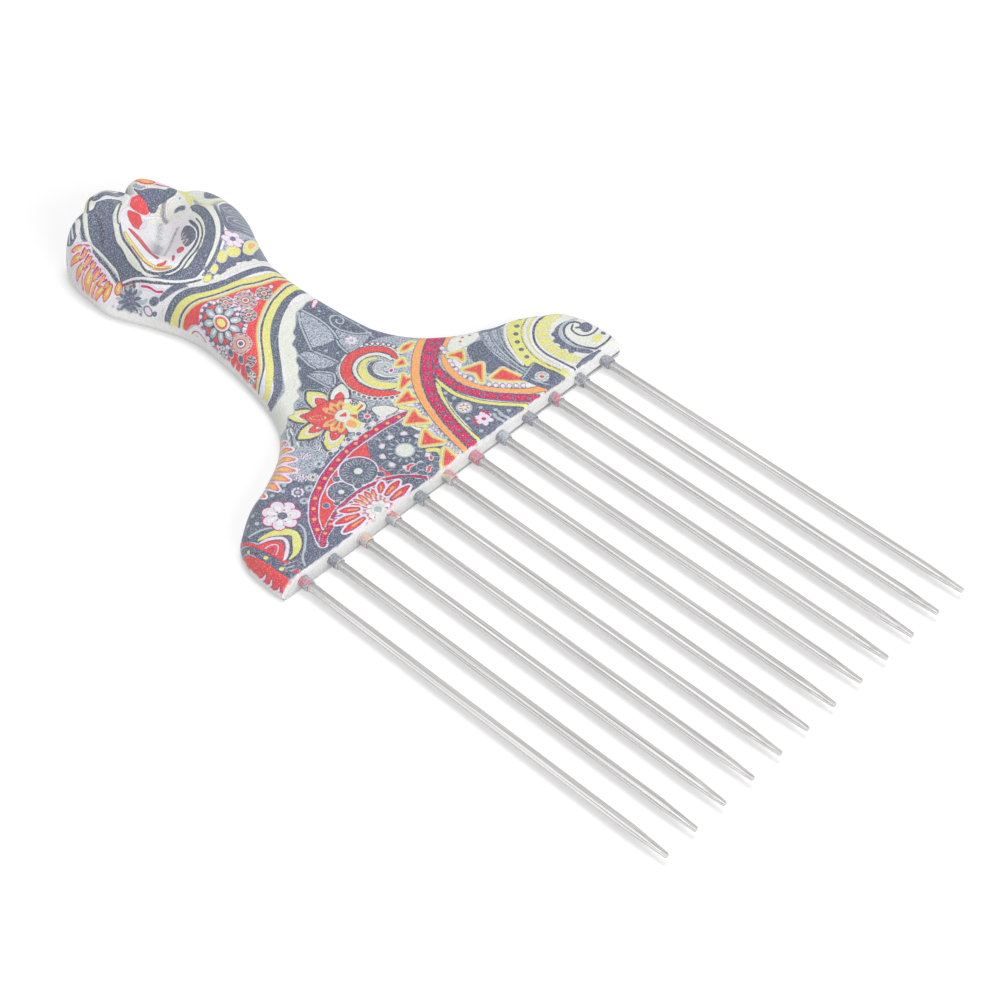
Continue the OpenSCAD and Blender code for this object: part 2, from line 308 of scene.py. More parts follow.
def top_surface(t, u):
    """The moulding's top: place, and the place of the same point on the flattened-out print."""
    half, row_y = side_at(t)
    x, y = plan(t, u)
    little = 0.02
    ahead = np.stack(side_at(np.minimum(side_last, t + little)))
    behind = np.stack(side_at(np.maximum(0, t - little)))
    out_by, along_by = (ahead - behind) / np.linalg.norm(ahead - behind, axis=0)
    inset = (1 - abs(u)) * half * along_by
    end_inset = plan(np.full_like(t, side_last), u)[1] - y
    reach = mix(head_round, across(finger_round, thumb_round, u), swell(y))
    flat = thickness(y) * (1 - crown_share * swell(y) * u * u) + relief(x, y)
    side_rise = quarter_rise(inset / reach)
    end_rise = quarter_rise(end_inset / across(finger_end_round, thumb_end_round, u))
    low = waist(row_y)
    z = mix(low, flat, side_rise * end_rise) - front_edge * (1 - quarter_rise(y / front_edge))
    drop = (flat - low) * (1 - side_rise * end_rise)
    power = across(finger_corner, thumb_corner, u)
    share = np.minimum(1, abs(u))
    tiny, least_ahead = 0.000001, 0.05
    out_x = (1 + tiny - side_rise) * along_by + (1 - end_rise) * share ** (power - 1)
    out_x = np.where(u < 0, -out_x, out_x)
    out_y = (side_rise - 1) * out_by + (1 - end_rise) * np.maximum(least_ahead, 1 - share ** power)
    stretch = wall_stretch * drop / np.hypot(out_x, out_y)
    return np.stack([x, y, z, x + out_x * stretch, y + out_y * stretch], -1)


def zip_lines(a, b):
    """Triangles between two lines of point numbers, keeping pace along both."""
    i = j = 0
    while i < len(a) - 1 or j < len(b) - 1:
        if j == len(b) - 1 or (i < len(a) - 1 and (i + 1) * (len(b) - 1) <= (j + 1) * (len(a) - 1)):
            yield a[i], a[i + 1], b[j]
            i += 1
        else:
            yield a[i], b[j + 1], b[j]
            j += 1


def even_steps(run, places, spacing, least):
    """Places spread evenly along a line whose length so far is run."""
    count = max(least, round(run[-1] / spacing) + 1)
    return np.interp(np.linspace(0, run[-1], count), run, places)


def run_of(points):
    """The length so far at each point of a line."""
    steps = np.linalg.norm(np.diff(points[..., :3], axis=-2), axis=-1)
    return np.concatenate([np.zeros(steps.shape[:-1] + (1,)), np.cumsum(steps, axis=-1)], -1)


# Points of the top: rows evenly spaced down the middle, and points evenly spaced along each row
point_gap = 0.25
fine_rows, fine_places = 6001, 1201
fine_t = np.linspace(0, side_last, fine_rows)
row_t = even_steps(run_of(top_surface(fine_t, np.zeros_like(fine_t))), fine_t, point_gap, least=2)
fine_u = np.sin(np.linspace(-np.pi / 2, np.pi / 2, fine_places))
row_runs = run_of(top_surface(*np.meshgrid(row_t, fine_u, indexing="ij")))
row_u = [even_steps(run, fine_u, point_gap, least=8) for run in row_runs]
row_start = np.cumsum([0] + [len(u) for u in row_u])
top = top_surface(np.repeat(row_t, [len(u) for u in row_u]), np.concatenate(row_u))
top_rows = [list(range(a, b)) for a, b in zip(row_start, row_start[1:])]
row_last = len(row_t) - 1

# Rings of the walls, from the widest line of the moulding round to the flat underside
wall_rings = 5
edge = ([row[0] for row in top_rows] + top_rows[-1][1:-1] + [row[-1] for row in reversed(top_rows)])
ends = np.full_like(row_t, -1)
plain_edge = np.concatenate([
    np.stack(plan(row_t, ends, dipped=0), -1),
    np.stack(plan(np.full(len(row_u[-1]) - 2, float(side_last)), row_u[-1][1:-1], dipped=0), -1),
    np.stack(plan(row_t[::-1], -ends, dipped=0), -1)])
tangent = np.zeros_like(plain_edge)
tangent[1:-1] = plain_edge[2:] - plain_edge[:-2]
inward = np.stack([tangent[:, 1], -tangent[:, 0]], -1)
inward[0], inward[-1] = (1, 0), (-1, 0)
inward /= np.linalg.norm(inward, axis=1, keepdims=True)
edge_points = top[edge]
under_reach = mix(head_under, fist_under, swell(edge_points[:, 1]))[:, None]
rings = [edge]
points = [top]
for step in range(1, wall_rings + 1):
    turn = math.pi / 2 * step / wall_rings
    ring = edge_points.copy()
    ring[:, :2] += inward * under_reach * (1 - math.cos(turn))
    ring[:, 2] *= 1 - math.sin(turn)
    fall = edge_points[:, 2:3] * math.sin(turn)
    ring[:, 3:] -= inward * fall
    start = sum(len(p) for p in points)
    rings.append(list(range(start, start + len(edge))))
    points.append(ring)

faces = []
for behind, ahead in zip(top_rows, top_rows[1:]):
    faces += zip_lines(behind, ahead)
for above, below in zip(rings, rings[1:]):
    for i in range(len(edge) - 1):
        faces += [(above[i], below[i + 1], below[i]), (above[i], above[i + 1], below[i + 1])]

# The flat underside: strips between the sides, then a fan round a hub under the fist
bottom = rings[-1]
hub = sum(len(p) for p in points)
points.append(np.mean([points[-1][row_last], points[-1][-1 - row_last]], axis=0)[None])
for k in range(row_last):
    left, ahead_left, right, ahead_right = (bottom[i] for i in (k, k + 1, -1 - k, -2 - k))
    if k < row_last - 1:
        faces += [(right, ahead_left, ahead_right), (right, left, ahead_left)]
    else:
        faces += [(right, hub, ahead_right), (right, left, hub), (left, ahead_left, hub)]
faces += [(bottom[i], bottom[i + 1], hub) for i in range(row_last, len(bottom) - row_last - 1)]

# The end face: a strip under its top edge, where the print's edge shows, and a fan below it
lip_drop = 0.5
lip_start = hub + 1
lip_points = top[top_rows[0]].copy()
lip_points[:, 2] -= lip_drop
lip_points[0], lip_points[-1] = edge_points[0], edge_points[-1]
lip = [top_rows[0][0]] + list(range(lip_start, lip_start + len(top_rows[0]) - 2)) + [top_rows[0][-1]]
points.append(lip_points[1:-1])
faces += zip_lines(lip, top_rows[0])
corner = bottom[0]
border = [ring[0] for ring in rings[-2:0:-1]] + lip + [ring[-1] for ring in rings[1:]]
faces += [(corner, b, a) for a, b in zip(border, border[1:])]
points = np.concatenate(points)

# Collars: the same moulding runs out round each pin for two millimetres, as a short sleeve with
# an eased front rim. They stand in a row along the end face.
pin_count, pin_pitch, pin_radius, pin_axis_h = 12, 6.6, 0.8, 1.75
collar_radius, collar_ease = 1.075, 0.12
collar_seat = 0.3
collar_sides = 40
rim_steps = 4

row = bpy.data.node_groups.new("row_of_collars", "GeometryNodeTree")
nodes, links = row.nodes, row.links
row.interface.new_socket("Geometry", in_out="OUTPUT", socket_type="NodeSocketGeometry")
row_sizes = {"Count": pin_count, "Pitch": pin_pitch * mm, "Bore radius": pin_radius * mm,
             "Outer radius": collar_radius * mm, "Length": (collar_len + collar_seat) * mm,
             "Ease": collar_ease * mm, "Sides": collar_sides}
for name, size in row_sizes.items():
    kind = "NodeSocketInt" if isinstance(size, int) else "NodeSocketFloat"
    row.interface.new_socket(name, in_out="INPUT", socket_type=kind)
row.interface.new_socket("Material", in_out="INPUT", socket_type="NodeSocketMaterial")
given_size = nodes.new("NodeGroupInput").outputs
made = nodes.new("NodeGroupOutput")


def row_node(kind, **inputs):
    """A node of the row's tree, with its inputs set to values or joined to other sockets."""
    node = nodes.new(kind)
    for name, value in inputs.items():
        join(value, node.inputs[name.replace("_", " ")])
    return node


wall = sum_of("SUBTRACT", given_size["Outer radius"], given_size["Bore radius"])
middle = sum_of("MULTIPLY", sum_of("ADD", given_size["Outer radius"], given_size["Bore radius"]), 0.5)
circle = row_node("GeometryNodeCurvePrimitiveCircle", Radius=middle, Resolution=given_size["Sides"])
section = row_node("GeometryNodeCurvePrimitiveQuadrilateral", Width=wall, Height=given_size["Length"])
eased = nodes.new("GeometryNodeFilletCurve")
eased.mode = "POLY"
join(section.outputs["Curve"], eased.inputs["Curve"])
join(given_size["Ease"], eased.inputs["Radius"])
join(rim_steps, eased.inputs["Count"])
sleeve = row_node("GeometryNodeCurveToMesh", Curve=circle.outputs["Curve"],
                  Profile_Curve=eased.outputs["Curve"])
pitch = row_node("ShaderNodeCombineXYZ", X=given_size["Pitch"])
first_place = (-(pin_count - 1) / 2 * pin_pitch * mm, (end_face_y - (collar_len - collar_seat) / 2) * mm,
               pin_axis_h * mm)
places = row_node("GeometryNodeMeshLine", Count=given_size["Count"], Offset=pitch.outputs[0],
                  Start_Location=first_place)
sleeves = row_node("GeometryNodeInstanceOnPoints", Points=places.outputs["Mesh"],
                   Instance=sleeve.outputs["Mesh"], Rotation=(math.pi / 2, 0, 0))
loose = row_node("GeometryNodeRealizeInstances", Geometry=sleeves.outputs["Instances"])
finished = row_node("GeometryNodeSetMaterial", Geometry=loose.outputs["Geometry"],
                    Material=given_size["Material"])
join(finished.outputs["Geometry"], made.inputs["Geometry"])

printed, nodes, links, shader = new_material("printed_plastic")
seed = add_mesh("collar_seed", [(0, 0, 0)], [], [])
maker = seed.modifiers.new("row_of_collars", "NODES")
maker.node_group = row
for item in row.interface.items_tree:
    if item.in_out == "INPUT":
        maker[item.identifier] = row_sizes.get(item.name, printed)
collars = bpy.data.objects.new("pin_collars", bpy.data.meshes.new_from_object(
    seed.evaluated_get(bpy.context.evaluated_depsgraph_get())))
bpy.context.scene.collection.objects.link(collars)
bpy.data.objects.remove(seed)
collars.data.polygons.foreach_set("use_smooth", [True] * len(collars.data.polygons))
collar_points = np.empty(len(collars.data.vertices) * 3)
collars.data.vertices.foreach_get("co", collar_points)
collar_points = collar_points.reshape(-1, 3) / mm - (0, end_face_y, 0)

# The print is one paisley transfer, drawn flat in millimetres across and along the handle. Each
# ink keeps how far every point of the surface lies inside it, and a shape printed over others
# cuts them back, so that the inks meet at a sharp edge however close one looks.
ink_names = ("plain", "stipple", "slate", "line", "cream", "lime", "orange", "coral", "magenta",
             "lilac", "teal", "tan")
far = 9.0
collar_stretch = 0.5
flat_x = np.concatenate([points[:, 3], collar_points[:, 0]])
flat_y = np.concatenate([points[:, 4], collar_points[:, 1] * collar_stretch])
inked = {name: np.full(len(flat_x), -far) for name in ink_names}
inked["stipple"][:] = far
flat_order = np.argsort(flat_y)
flat_sorted = flat_y[flat_order]
reach_past = 1.4


def near(low_x, low_y, high_x, high_y):
    """Numbers of the surface's points in or close to a rectangle of the print."""
    first, last = np.searchsorted(flat_sorted, (low_y - reach_past, high_y + reach_past))
    found = flat_order[first:last]
    across_x = flat_x[found]
    return found[(across_x > low_x - reach_past) & (across_x < high_x + reach_past)]


def lay(ink, found, inside, **edges):
    """Prints a shape: inside is how far each found point lies inside it. Its edges go under it."""
    for edge_ink, width in edges.items():
        lay(edge_ink, found, inside + width)
    for name, depth in inked.items():
        if name == ink:
            depth[found] = np.maximum(depth[found], inside)
        else:
            depth[found] = np.minimum(depth[found], -inside)


def smooth_line(nodes_at, closed=False, steps=8):
    """A smooth curve through a few points, whatever they carry besides their place."""
    p = np.array(nodes_at, float)
    if len(p) < 3 and not closed:
        return p
    around = np.concatenate([p[-1:], p, p[:2]]) if closed else np.concatenate([p[:1], p, p[-1:]])
    t = np.linspace(0, 1, steps, endpoint=False)[:, None]
    spans = [between(*four, t) for four in zip(around, around[1:], around[2:], around[3:])]
    return np.concatenate(spans if closed else spans + [p[-1:]])


def beside(found, ax, ay, bx, by):
    """For each found point and each line from a to b: the share along the line, and the gap to it."""
    x, y = flat_x[found][:, None], flat_y[found][:, None]
    tiny = 1e-12
    share = ((x - ax) * (bx - ax) + (y - ay) * (by - ay)) / ((bx - ax) ** 2 + (by - ay) ** 2 + tiny)
    share = np.clip(share, 0, 1)
    return share, np.hypot(x - mix(ax, bx, share), y - mix(ay, by, share))


# A shape's edges are given by their inks' names: how far each runs past the shape, widest first
def field(ink, *nodes_at, sharp=False, **edges):
    """A closed area through its corner points, with a smooth outline or with sharp corners."""
    p = np.array(nodes_at, float) if sharp else smooth_line(nodes_at, closed=True)
    found = near(*p.min(0), *p.max(0))
    x, y = flat_x[found][:, None], flat_y[found][:, None]
    (ax, ay), (bx, by) = p.T, np.roll(p, -1, 0).T
    gap = beside(found, ax, ay, bx, by)[1].min(1)
    crossed = ((ay > y) != (by > y)) & (x < mix(ax, bx, (y - ay) / np.where(by == ay, 1, by - ay)))
    lay(ink, found, np.where(crossed.sum(1) % 2 == 1, gap, -gap), **edges)


def stroke(ink, width, *nodes_at, **edges):
    """A line of ink along a smooth curve. A third value at a point scales the width there."""
    p = smooth_line([tuple(n) + (1,) * (3 - len(n)) for n in nodes_at])
    wide = width * p[:, 2].max() / 2
    found = near(*(p[:, :2].min(0) - wide), *(p[:, :2].max(0) + wide))
    (ax, ay, aw), (bx, by, bw) = p[:-1].T, p[1:].T
    share, gap = beside(found, ax, ay, bx, by)
    lay(ink, found, -(gap - mix(aw, bw, share) * width / 2).min(1), **edges)


def spot(ink, x, y, radius, flatness=1, turn=0, **edges):
    """A round or oval dot. flatness is its short side as a share, turn is in degrees."""
    found = near(x - radius, y - radius, x + radius, y + radius)
    c, s = math.cos(math.radians(turn)), math.sin(math.radians(turn))
    dx, dy = flat_x[found] - x, flat_y[found] - y
    u, v = dx * c + dy * s, (dy * c - dx * s) / flatness
    lay(ink, found, (radius - np.hypot(u, v)) * (flatness + 1) / 2, **edges)


def dots(ink, radius, *places, **edges):
    """Round dots of one size."""
    for x, y in places:
        spot(ink, x, y, radius, **edges)


def spaced(gap, *nodes_at):
    """Places spaced evenly along a smooth curve."""
    p = smooth_line(nodes_at)
    run = run_of(p)
    at = np.linspace(0, run[-1], max(2, round(run[-1] / gap) + 1))
    return np.stack([np.interp(at, run, p[:, 0]), np.interp(at, run, p[:, 1])], -1)


def toward(x, y, turn, away, away_along=None):
    """The place at a distance from a centre, in a direction in degrees, on a circle or an oval."""
    a = math.radians(turn)
    return x + away * math.cos(a), y + (away_along or away) * math.sin(a)


def petals(ink, x, y, count, inner, outer, width, turn=0, shown=None, **edges):
    """Tear-shaped petals round a centre, all of the count or the first few of it."""
    for k in range(shown or count):
        a = turn + 360 * k / count
        widest, tip = mix(inner, outer, 0.62), outer - width * 0.2
        stroke(ink, width, (*toward(x, y, a, inner), 0.35), toward(x, y, a, widest),
               (*toward(x, y, a, tip), 0.3), **edges)


def rosette(x, y, radius, ground, ring, heart, count=9):
    """A small round flower: its ground, a ring of beads and a heart."""
    spot(ground, x, y, radius)
    for k in range(count):
        spot(ring, *toward(x, y, 360 * k / count, 0.68 * radius), 0.2 * radius)
    spot(heart, x, y, 0.3 * radius)


def petal(base, tip, width, fill="orange", line="coral", heart=None, halo=None):
    """A pointed petal from base to tip, outlined, and with a halo or a heart where it has one."""
    (x1, y1), (x2, y2) = base, tip
    middle = (mix(x1, x2, 0.55), mix(y1, y2, 0.55))
    edges = {halo: 0.6, line: 0.2} if halo else {line: 0.2}
    stroke(fill, 0.66 * width, (x1, y1, 0.5), middle, (x2, y2, 0.15), **edges)
    if heart:
        stroke(heart, 0.3 * width, (x1, y1, 0.5), middle)


def lobe(base, tip, width, fill, heart):
    """A broad pointed petal from base to tip, in dark and pale outlines, round a smaller heart."""
    (x1, y1), (x2, y2) = base, tip
    outline = ((-0.1, -0.3), (0.2, -0.5), (0.62, -0.42), (0.86, -0.2), (1, 0), (0.86, 0.2), (0.62, 0.42),
               (0.2, 0.5), (-0.1, 0.3))
    wide = width / math.hypot(x2 - x1, y2 - y1)
    for ink, size, edges in ((fill, 1, {"teal": 0.72, "line": 0.5, "cream": 0.08}), ("cream", 0.72, {}),
                             (heart, 0.5, {"magenta": 0.16}), ("lilac", 0.2, {})):
        field(ink, *((x1 + size * (a * (x2 - x1) - b * wide * (y2 - y1)),
                      y1 + size * (a * (y2 - y1) + b * wide * (x2 - x1))) for a, b in outline), **edges)


def flame(*corners):
    """A red tongue in a yellow halo."""
    field("coral", *corners, sharp=True, cream=0.85, lime=0.66, orange=0.26)


haze = np.zeros(len(flat_x))


def smear_with_shade(strength, width, *nodes_at):
    """A soft grey smear of dark specks in a hollow: partly the print's film stretched into it, partly
    painted shade of the hollow.
    """
    p = smooth_line(nodes_at)
    found = near(*(p.min(0) - width), *(p.max(0) + width))
    gap = np.hypot(flat_x[found][:, None] - p[:, 0], flat_y[found][:, None] - p[:, 1]).min(1)
    haze[found] = np.maximum(haze[found], strength * (1 - ease(gap / width)))


# Ground of the head and the neck
field("slate", (-38, -4), (-39.5, 4), (-39, 12), (-36, 15.6), (-31, 16.6), (-26.5, 16.5), (-22, 15),
      (-17, 15), (-10, 16), (-3, 15), (1.5, 12.5), (1, 5), (1, -4), (-18, -5))
field("plain", (1, -4), (0.5, 5), (-1, 10), (0, 14), (1.5, 18), (6, 21), (10, 24), (16, 25), (23, 23),
      (24, 18), (16, 15), (15, 10), (20, 5), (24, 0), (22, -4), (10, -5))
field("slate", (-4.5, 25.5), (-8, 30), (-6, 33.4), (-3, 37.2), (0.5, 41.3), (4, 43.8), (9, 45), (15, 45.5),
      (16, 36), (14.5, 29), (10, 30.5), (4, 31.5), (-0.5, 29.5), (-2, 26))

# Left end of the head: a coral lobe, its beaded border and a leaf in its pale line
field("coral", (-43.5, 12.5), (-40.8, 10.2), (-39.9, 7.9), (-39.3, 5.1), (-39.3, 2.5), (-39.3, -2.5),
      (-44, -2.5), (-46, 5))
for nodes_at in (
        ((-43.2, 6, 0.4), (-42.2, 4.4), (-41.1, 4.2, 0.3)),
        ((-43.2, 4, 0.4), (-42.3, 2.6), (-41.3, 2.6, 0.3)),
        ((-43.2, 2, 0.4), (-42.3, 0.7), (-41.5, 0.7, 0.3))):
    stroke("lilac", 0.5, *nodes_at, magenta=0.2)
stroke("slate", 1.2, (-40.8, 11.8), (-39.8, 10.5), (-39, 8), (-38.6, 5), (-38.6, 2), (-38.4, -1.5))
dots("lime", 0.42, (-39.8, 9.5), (-38.6, 6), (-38.5, 2.4))
dots("line", 0.45, (-39.1, 7.8), (-38.4, 4.2), (-38.5, 0.8))
stroke("teal", 1.1, (-39.8, 12.5), (-38.6, 10.4), (-37.4, 8), (-37, 4), (-37.1, 0.3))
stroke("coral", 0.6, (-39.6, 12.6), (-38.6, 10.5), (-37.7, 8), (-37.3, 6), (-37.1, 4), (-37.1, 0.3),
       magenta=0.12)
stroke("teal", 0.42, (-37.5, 11.4), (-34.9, 11), (-33.1, 9.9), (-30.5, 8.3), (-29.8, 7.3), (-30.1, 6),
       (-31, 4.7), (-32.7, 3.1), (-34.4, 1.8), (-35.3, 0.3))
stroke("lime", 1.5, (-37, 9.7, 0.2), (-35, 9.4, 0.6), (-33, 8.4), (-31.8, 6.6, 0.8), (-33, 4.6),
       (-34.5, 3.4, 0.6), (-36.2, 3, 0.2), line=0.25)
stroke("lilac", 0.6, (-37.3, 9, 0.5), (-35.6, 8.7), (-33.8, 7.2), (-34.2, 5.6), (-36, 4), (-37, 3.5, 0.5))
field("coral", (-38, 8.7), (-36.2, 8.4), (-34.5, 6.8), (-35.5, 5.1), (-37.2, 4), (-37.5, 6.4), magenta=0.14)
stroke("lilac", 0.28, (-37.3, 7.6), (-36, 7.4), (-35.4, 6.7), (-36, 5.9), (-37, 5.3))
stroke("magenta", 0.3, (-37.2, 6.9), (-36.2, 6.6), (-37, 6.1))
stroke("slate", 0.5, (-38, 1.6), (-36.8, 1.1), (-35.6, 1.5), (-36.8, 2), (-37.6, 2.3), teal=0.2)

# White flower and the small flowers and dots in the slate beside it
petals("lilac", -30.5, 11.1, 7, 0.6, 3, 2.2, 14, magenta=0.2)
petals("plain", -30.5, 11.1, 7, 0.8, 2.5, 1.2, 14)
spot("slate", -30.4, 10.9, 0.8)
dots("magenta", 0.16, (-30.4, 12.1), (-29.3, 11.6), (-29.4, 10.1), (-30.9, 9.6), (-31.6, 10.8),
     (-31.3, 11.9))
for flower in (
        (-25, 13, 1.35, "slate", "lilac", "teal"), (-22.3, 14.9, 1, "lilac", "slate", "teal", 7),
        (-25.6, 10.8, 0.8, "teal", "lilac", "slate", 7), (-20.8, 13.7, 1, "cream", "teal", "slate", 7),
        (-18, 15.2, 1, "teal", "cream", "slate", 8), (-23, 12.3, 0.8, "teal", "cream", "line", 7),
        (-18.3, 18.1, 0.9, "lilac", "slate", "teal", 7), (-21.8, 16.9, 0.9, "cream", "slate", "teal", 7),
        (-15.2, 17.6, 0.8, "cream", "slate", "line", 7)):
    rosette(*flower)
dots("teal", 0.42, (-26.5, 14.9), (-28.5, 15.5), (-34.5, 12.6), (-35.8, 13.8), (-33.8, 14.6), (-27, 8.3),
     (-25.4, 15.8), (-23.6, 16.8), (-20.2, 15.5), (-16.6, 16.2), (-16.2, 19.7))
for x, y in ((-19.5, 20.6), (-18.3, 22), (-17.2, 23.6), (-16.3, 25.6), (-17.6, 20.4), (-16.3, 23.4)):
    stroke("cream", 0.34, (x, y), (x + 0.4, y + 1), (x + 1.3, y + 1.7))
    stroke("slate", 0.3, (x + 0.5, y - 0.2), (x + 1, y + 0.8), (x + 1.8, y + 1.4))

# Row of petals along the left edge of the flare
for base, tip, width in (
        ((-30, 19), (-29.5, 16.2), 1.2), ((-27.2, 19.6), (-26.9, 15.8), 1.5),
        ((-25.9, 20), (-24.2, 16.1), 1.5), ((-24.6, 20.8), (-21.9, 17), 1.5),
        ((-23, 22.1), (-20.1, 18.9), 1.4), ((-21.5, 24.1), (-18.9, 21.1), 1.3),
        ((-19.9, 26.4), (-18.4, 23.4), 1.1)):
    petal(base, tip, 1.15 * width, "orange", "coral", "lime", "lilac")

# The big paisley: its banded back, its inner line and the field between them
field("coral", (-28.6, 3.6), (-26.5, 6.6), (-24, 8.9), (-20, 11.3), (-16, 12.7), (-12, 13.4), (-8.8, 13.5),
      (-9.6, 10), (-10.8, 4), (-14.5, 5.8), (-20, 6.3), (-25, 5.2))
field("slate", (-10.6, 14), (-11.4, 9), (-11, 4), (-8.5, 1), (-4, -1), (0, 0), (-2.5, 4), (-2.5, 9),
      (-0.5, 13), (-5, 13.6))
for x, y in ((-8.2, 12.1), (-5.8, 12.4), (-3.5, 12.3), (-10.2, 6.6), (-9.7, 3.3), (-1.6, 12.4)):
    spot("slate", x, y, 1, teal=0.22)
    dots("teal", 0.17, (x, y), (x + 0.45, y + 0.3), (x - 0.4, y + 0.35), (x, y - 0.5))
field("coral", (-12.6, 12.9), (-9.4, 13.1), (-10.1, 11.6), (-11, 10.2), (-11.9, 11.5), magenta=0.12)
for x, y, radius in ((-19.9, 7.9, 2.2), (-14.6, 9.3, 3.2)):
    spot("slate", x, y, radius, lilac=0.3)
    petals("teal", x, y, 12, 0.42 * radius, 0.92 * radius, 0.28 * radius)
    petals("slate", x, y, 12, 0.42 * radius, 0.88 * radius, 0.13 * radius)
    spot("slate", x, y, 0.42 * radius)
    spot("cream", x, y, 0.22 * radius, teal=0.12)
for x, y, size in (
        (-23.8, 7.4, 0.55), (-22.2, 6.5, 0.5), (-17, 6.9, 0.6), (-18.4, 10.6, 0.6), (-12.4, 6.1, 0.6)):
    spot("slate", x, y, size, lilac=0.16)
for k in range(10):
    spot("lilac", *toward(-5.7, 7.2, 36 * k + 12, 3.9), 0.55, teal=0.18)
spot("slate", -5.7, 7.2, 3.35, line=0.2)
petals("teal", -5.7, 7.2, 14, 1.9, 3.1, 0.42)
spot("cream", -5.7, 7.2, 1.5, teal=0.25)
for x, y in ((-8.6, 3.6), (-6.4, 0.9), (-4.1, 2.6), (-9.2, 1.4)):
    stroke("coral", 0.45, (x, y), (x + 0.7, y + 0.5), (x + 1.4, y + 0.3), lilac=0.22)
dots("slate", 0.75, (-6.4, 2.6), (-4.4, 0.9), (-2.6, 3), (-7.6, 1.2), teal=0.22)
paisley_back = ((-30.1, 1.6), (-29, 3.8), (-27.5, 6.4), (-26, 8.1), (-24, 9.9), (-22, 11), (-19.7, 12.2),
                (-17.3, 13), (-15.1, 13.6), (-12.7, 14.1), (-10.3, 14.3), (-8.1, 14.3), (-6, 14.2),
                (-4, 14.1), (-2, 13.8), (-0.4, 13.6, 0.7), (1, 13.4, 0.2))
stroke("magenta", 1.15, *paisley_back, lilac=0.42, line=0.18)
dots("orange", 0.37, *spaced(2.45, (-29.6, 2.4), (-27.2, 6.7), (-23.8, 10), (-19.6, 12.1), (-15.1, 13.6),
                             (-10.4, 14.3), (-5.6, 14.2), (-0.8, 13.6)))
stroke("magenta", 0.9, (-30.3, 1.4, 0.8), (-28.8, 2.7), (-26.8, 3.5), (-25.4, 4.3), (-23.5, 5, 0.5),
       lilac=0.32, line=0.16)
dots("orange", 0.32, (-28.2, 3), (-26.2, 3.9))
stroke("magenta", 0.4, (-25, 4.7), (-23, 5.4), (-20, 5.8), (-17, 5.8), (-15, 5.4), (-12.8, 4.7), (-11, 3.7),
       (-9.8, 2.6), (-8.7, 1.5), (-7.8, 0.2), lilac=0.36, line=0.16)

# Sunflower at the end face, under the paisley
field("slate", (-29.4, -2), (-28.4, 1.6), (-26, 3), (-24, 3.9), (-11.6, 3.4), (-9, 1), (-8, -2), (-18, -3))
petals("coral", -18.4, 0.3, 24, 1.7, 5.2, 0.95, 0, 13, lilac=0.26)
petals("orange", -18.4, 0.3, 24, 2.5, 4.8, 0.4, 0, 13)
petals("lilac", -18.4, 0.3, 24, 1.6, 3.6, 0.26, 7.5, 13)
petals("plain", -18.4, 0.4, 10, 0.6, 2.3, 1.05, coral=0.1)
for base, tip, width in (
        ((-21.6, 0.9), (-25.8, 1), 1.4), ((-21.7, 2.2), (-25.4, 3.3), 1.4), ((-20.7, 3.1), (-23, 4.8), 1.3),
        ((-15.3, 3.3), (-13.7, 4.6), 1.2), ((-15, 2.1), (-11.6, 2.8), 1.4),
        ((-15.2, 0.7), (-11.2, 0.8), 1.3)):
    petal(base, tip, 1.15 * width, "coral", "magenta", "orange", "lilac")
spot("teal", -18.4, 0.7, 0.65, cream=0.5)

# Lotus over the paisley: five broad petals round a red crown with a yellow heart
for shape in (
        ((-10.8, 24.1), (-13.9, 27.6), 3.1, "lime", "coral"),
        ((-7.6, 24.8), (-7.4, 29.2), 3.5, "lime", "coral"), ((-5.2, 23.7), (-2, 26.4), 3, "cream", "coral"),
        ((-11.7, 21.6), (-16.3, 22.1), 3, "lime", "coral"),
        ((-10.4, 18.8), (-14.6, 16.5), 3.4, "lime", "coral")):
    lobe(*shape)
field("cream", (-11, 24), (-8, 24.8), (-5, 24), (-3.1, 22), (-2.6, 19.8), (-4.4, 18.6), (-5.4, 16.9),
      (-7.6, 15.9), (-9.6, 17.4), (-11, 20.2), (-11.6, 22.4), line=0.22)
field("coral", (-12, 24.8), (-9.6, 25.4), (-7, 25.1), (-4.5, 23.8), (-5.6, 22.6), (-8, 20.8), (-9, 18.4),
      (-9.7, 17), (-11, 19), (-11.9, 22), line=0.2, magenta=0.1)
stroke("coral", 0.75, (-11.4, 24.1, 0.3), (-10.6, 23.4), (-9.7, 22.6, 0.3), lime=0.24)
for turn in (52, 78, 104, 172, 198, 222):
    petal(toward(-7.4, 20.6, turn, 1.5), toward(-7.4, 20.6, turn, 3.7), 1.5, "orange", "lime", "coral")
field("lime", (-6, 22.2), (-4, 22), (-3, 20.4), (-4.4, 19), (-5.9, 17.2), (-7.6, 16.8), (-8.2, 18.6),
      (-6.6, 19.4))
field("cream", (-8.6, 21.2), (-7, 22), (-5.6, 21.2), (-6.4, 19.6), (-8, 19))
field("orange", (-8.4, 18.4), (-7.4, 19.2), (-6.8, 18), (-7.6, 17.2))
field("coral", (-7.9, 21.1), (-6.9, 20), (-6.2, 21), sharp=True)
field("coral", (-6.3, 19.9), (-5.2, 18.9), (-4.9, 16.6), (-5.9, 17.6), orange=0.14, sharp=True)
stroke("coral", 0.45, (-4.6, 19.8, 0.6), (-3.2, 20.1))
spot("slate", -4.4, 17.6, 1.65, cream=0.14)
petals("teal", -4.4, 17.6, 8, 0.6, 1.5, 0.34)
spot("coral", -4.4, 17.6, 0.42, lilac=0.24)
field("cream", (-2.5, 18.4), (-0.8, 17.6), (0.1, 16.3), (0.4, 15), (-2, 15.3), (-3, 16.4), line=0.16)
for k in range(12):
    x = -15 + 1.1 * k
    spot("lilac" if k % 2 else "slate", x, 15.6 + 0.3 * math.sin(2.1 * k), 0.42, cream=0.2)
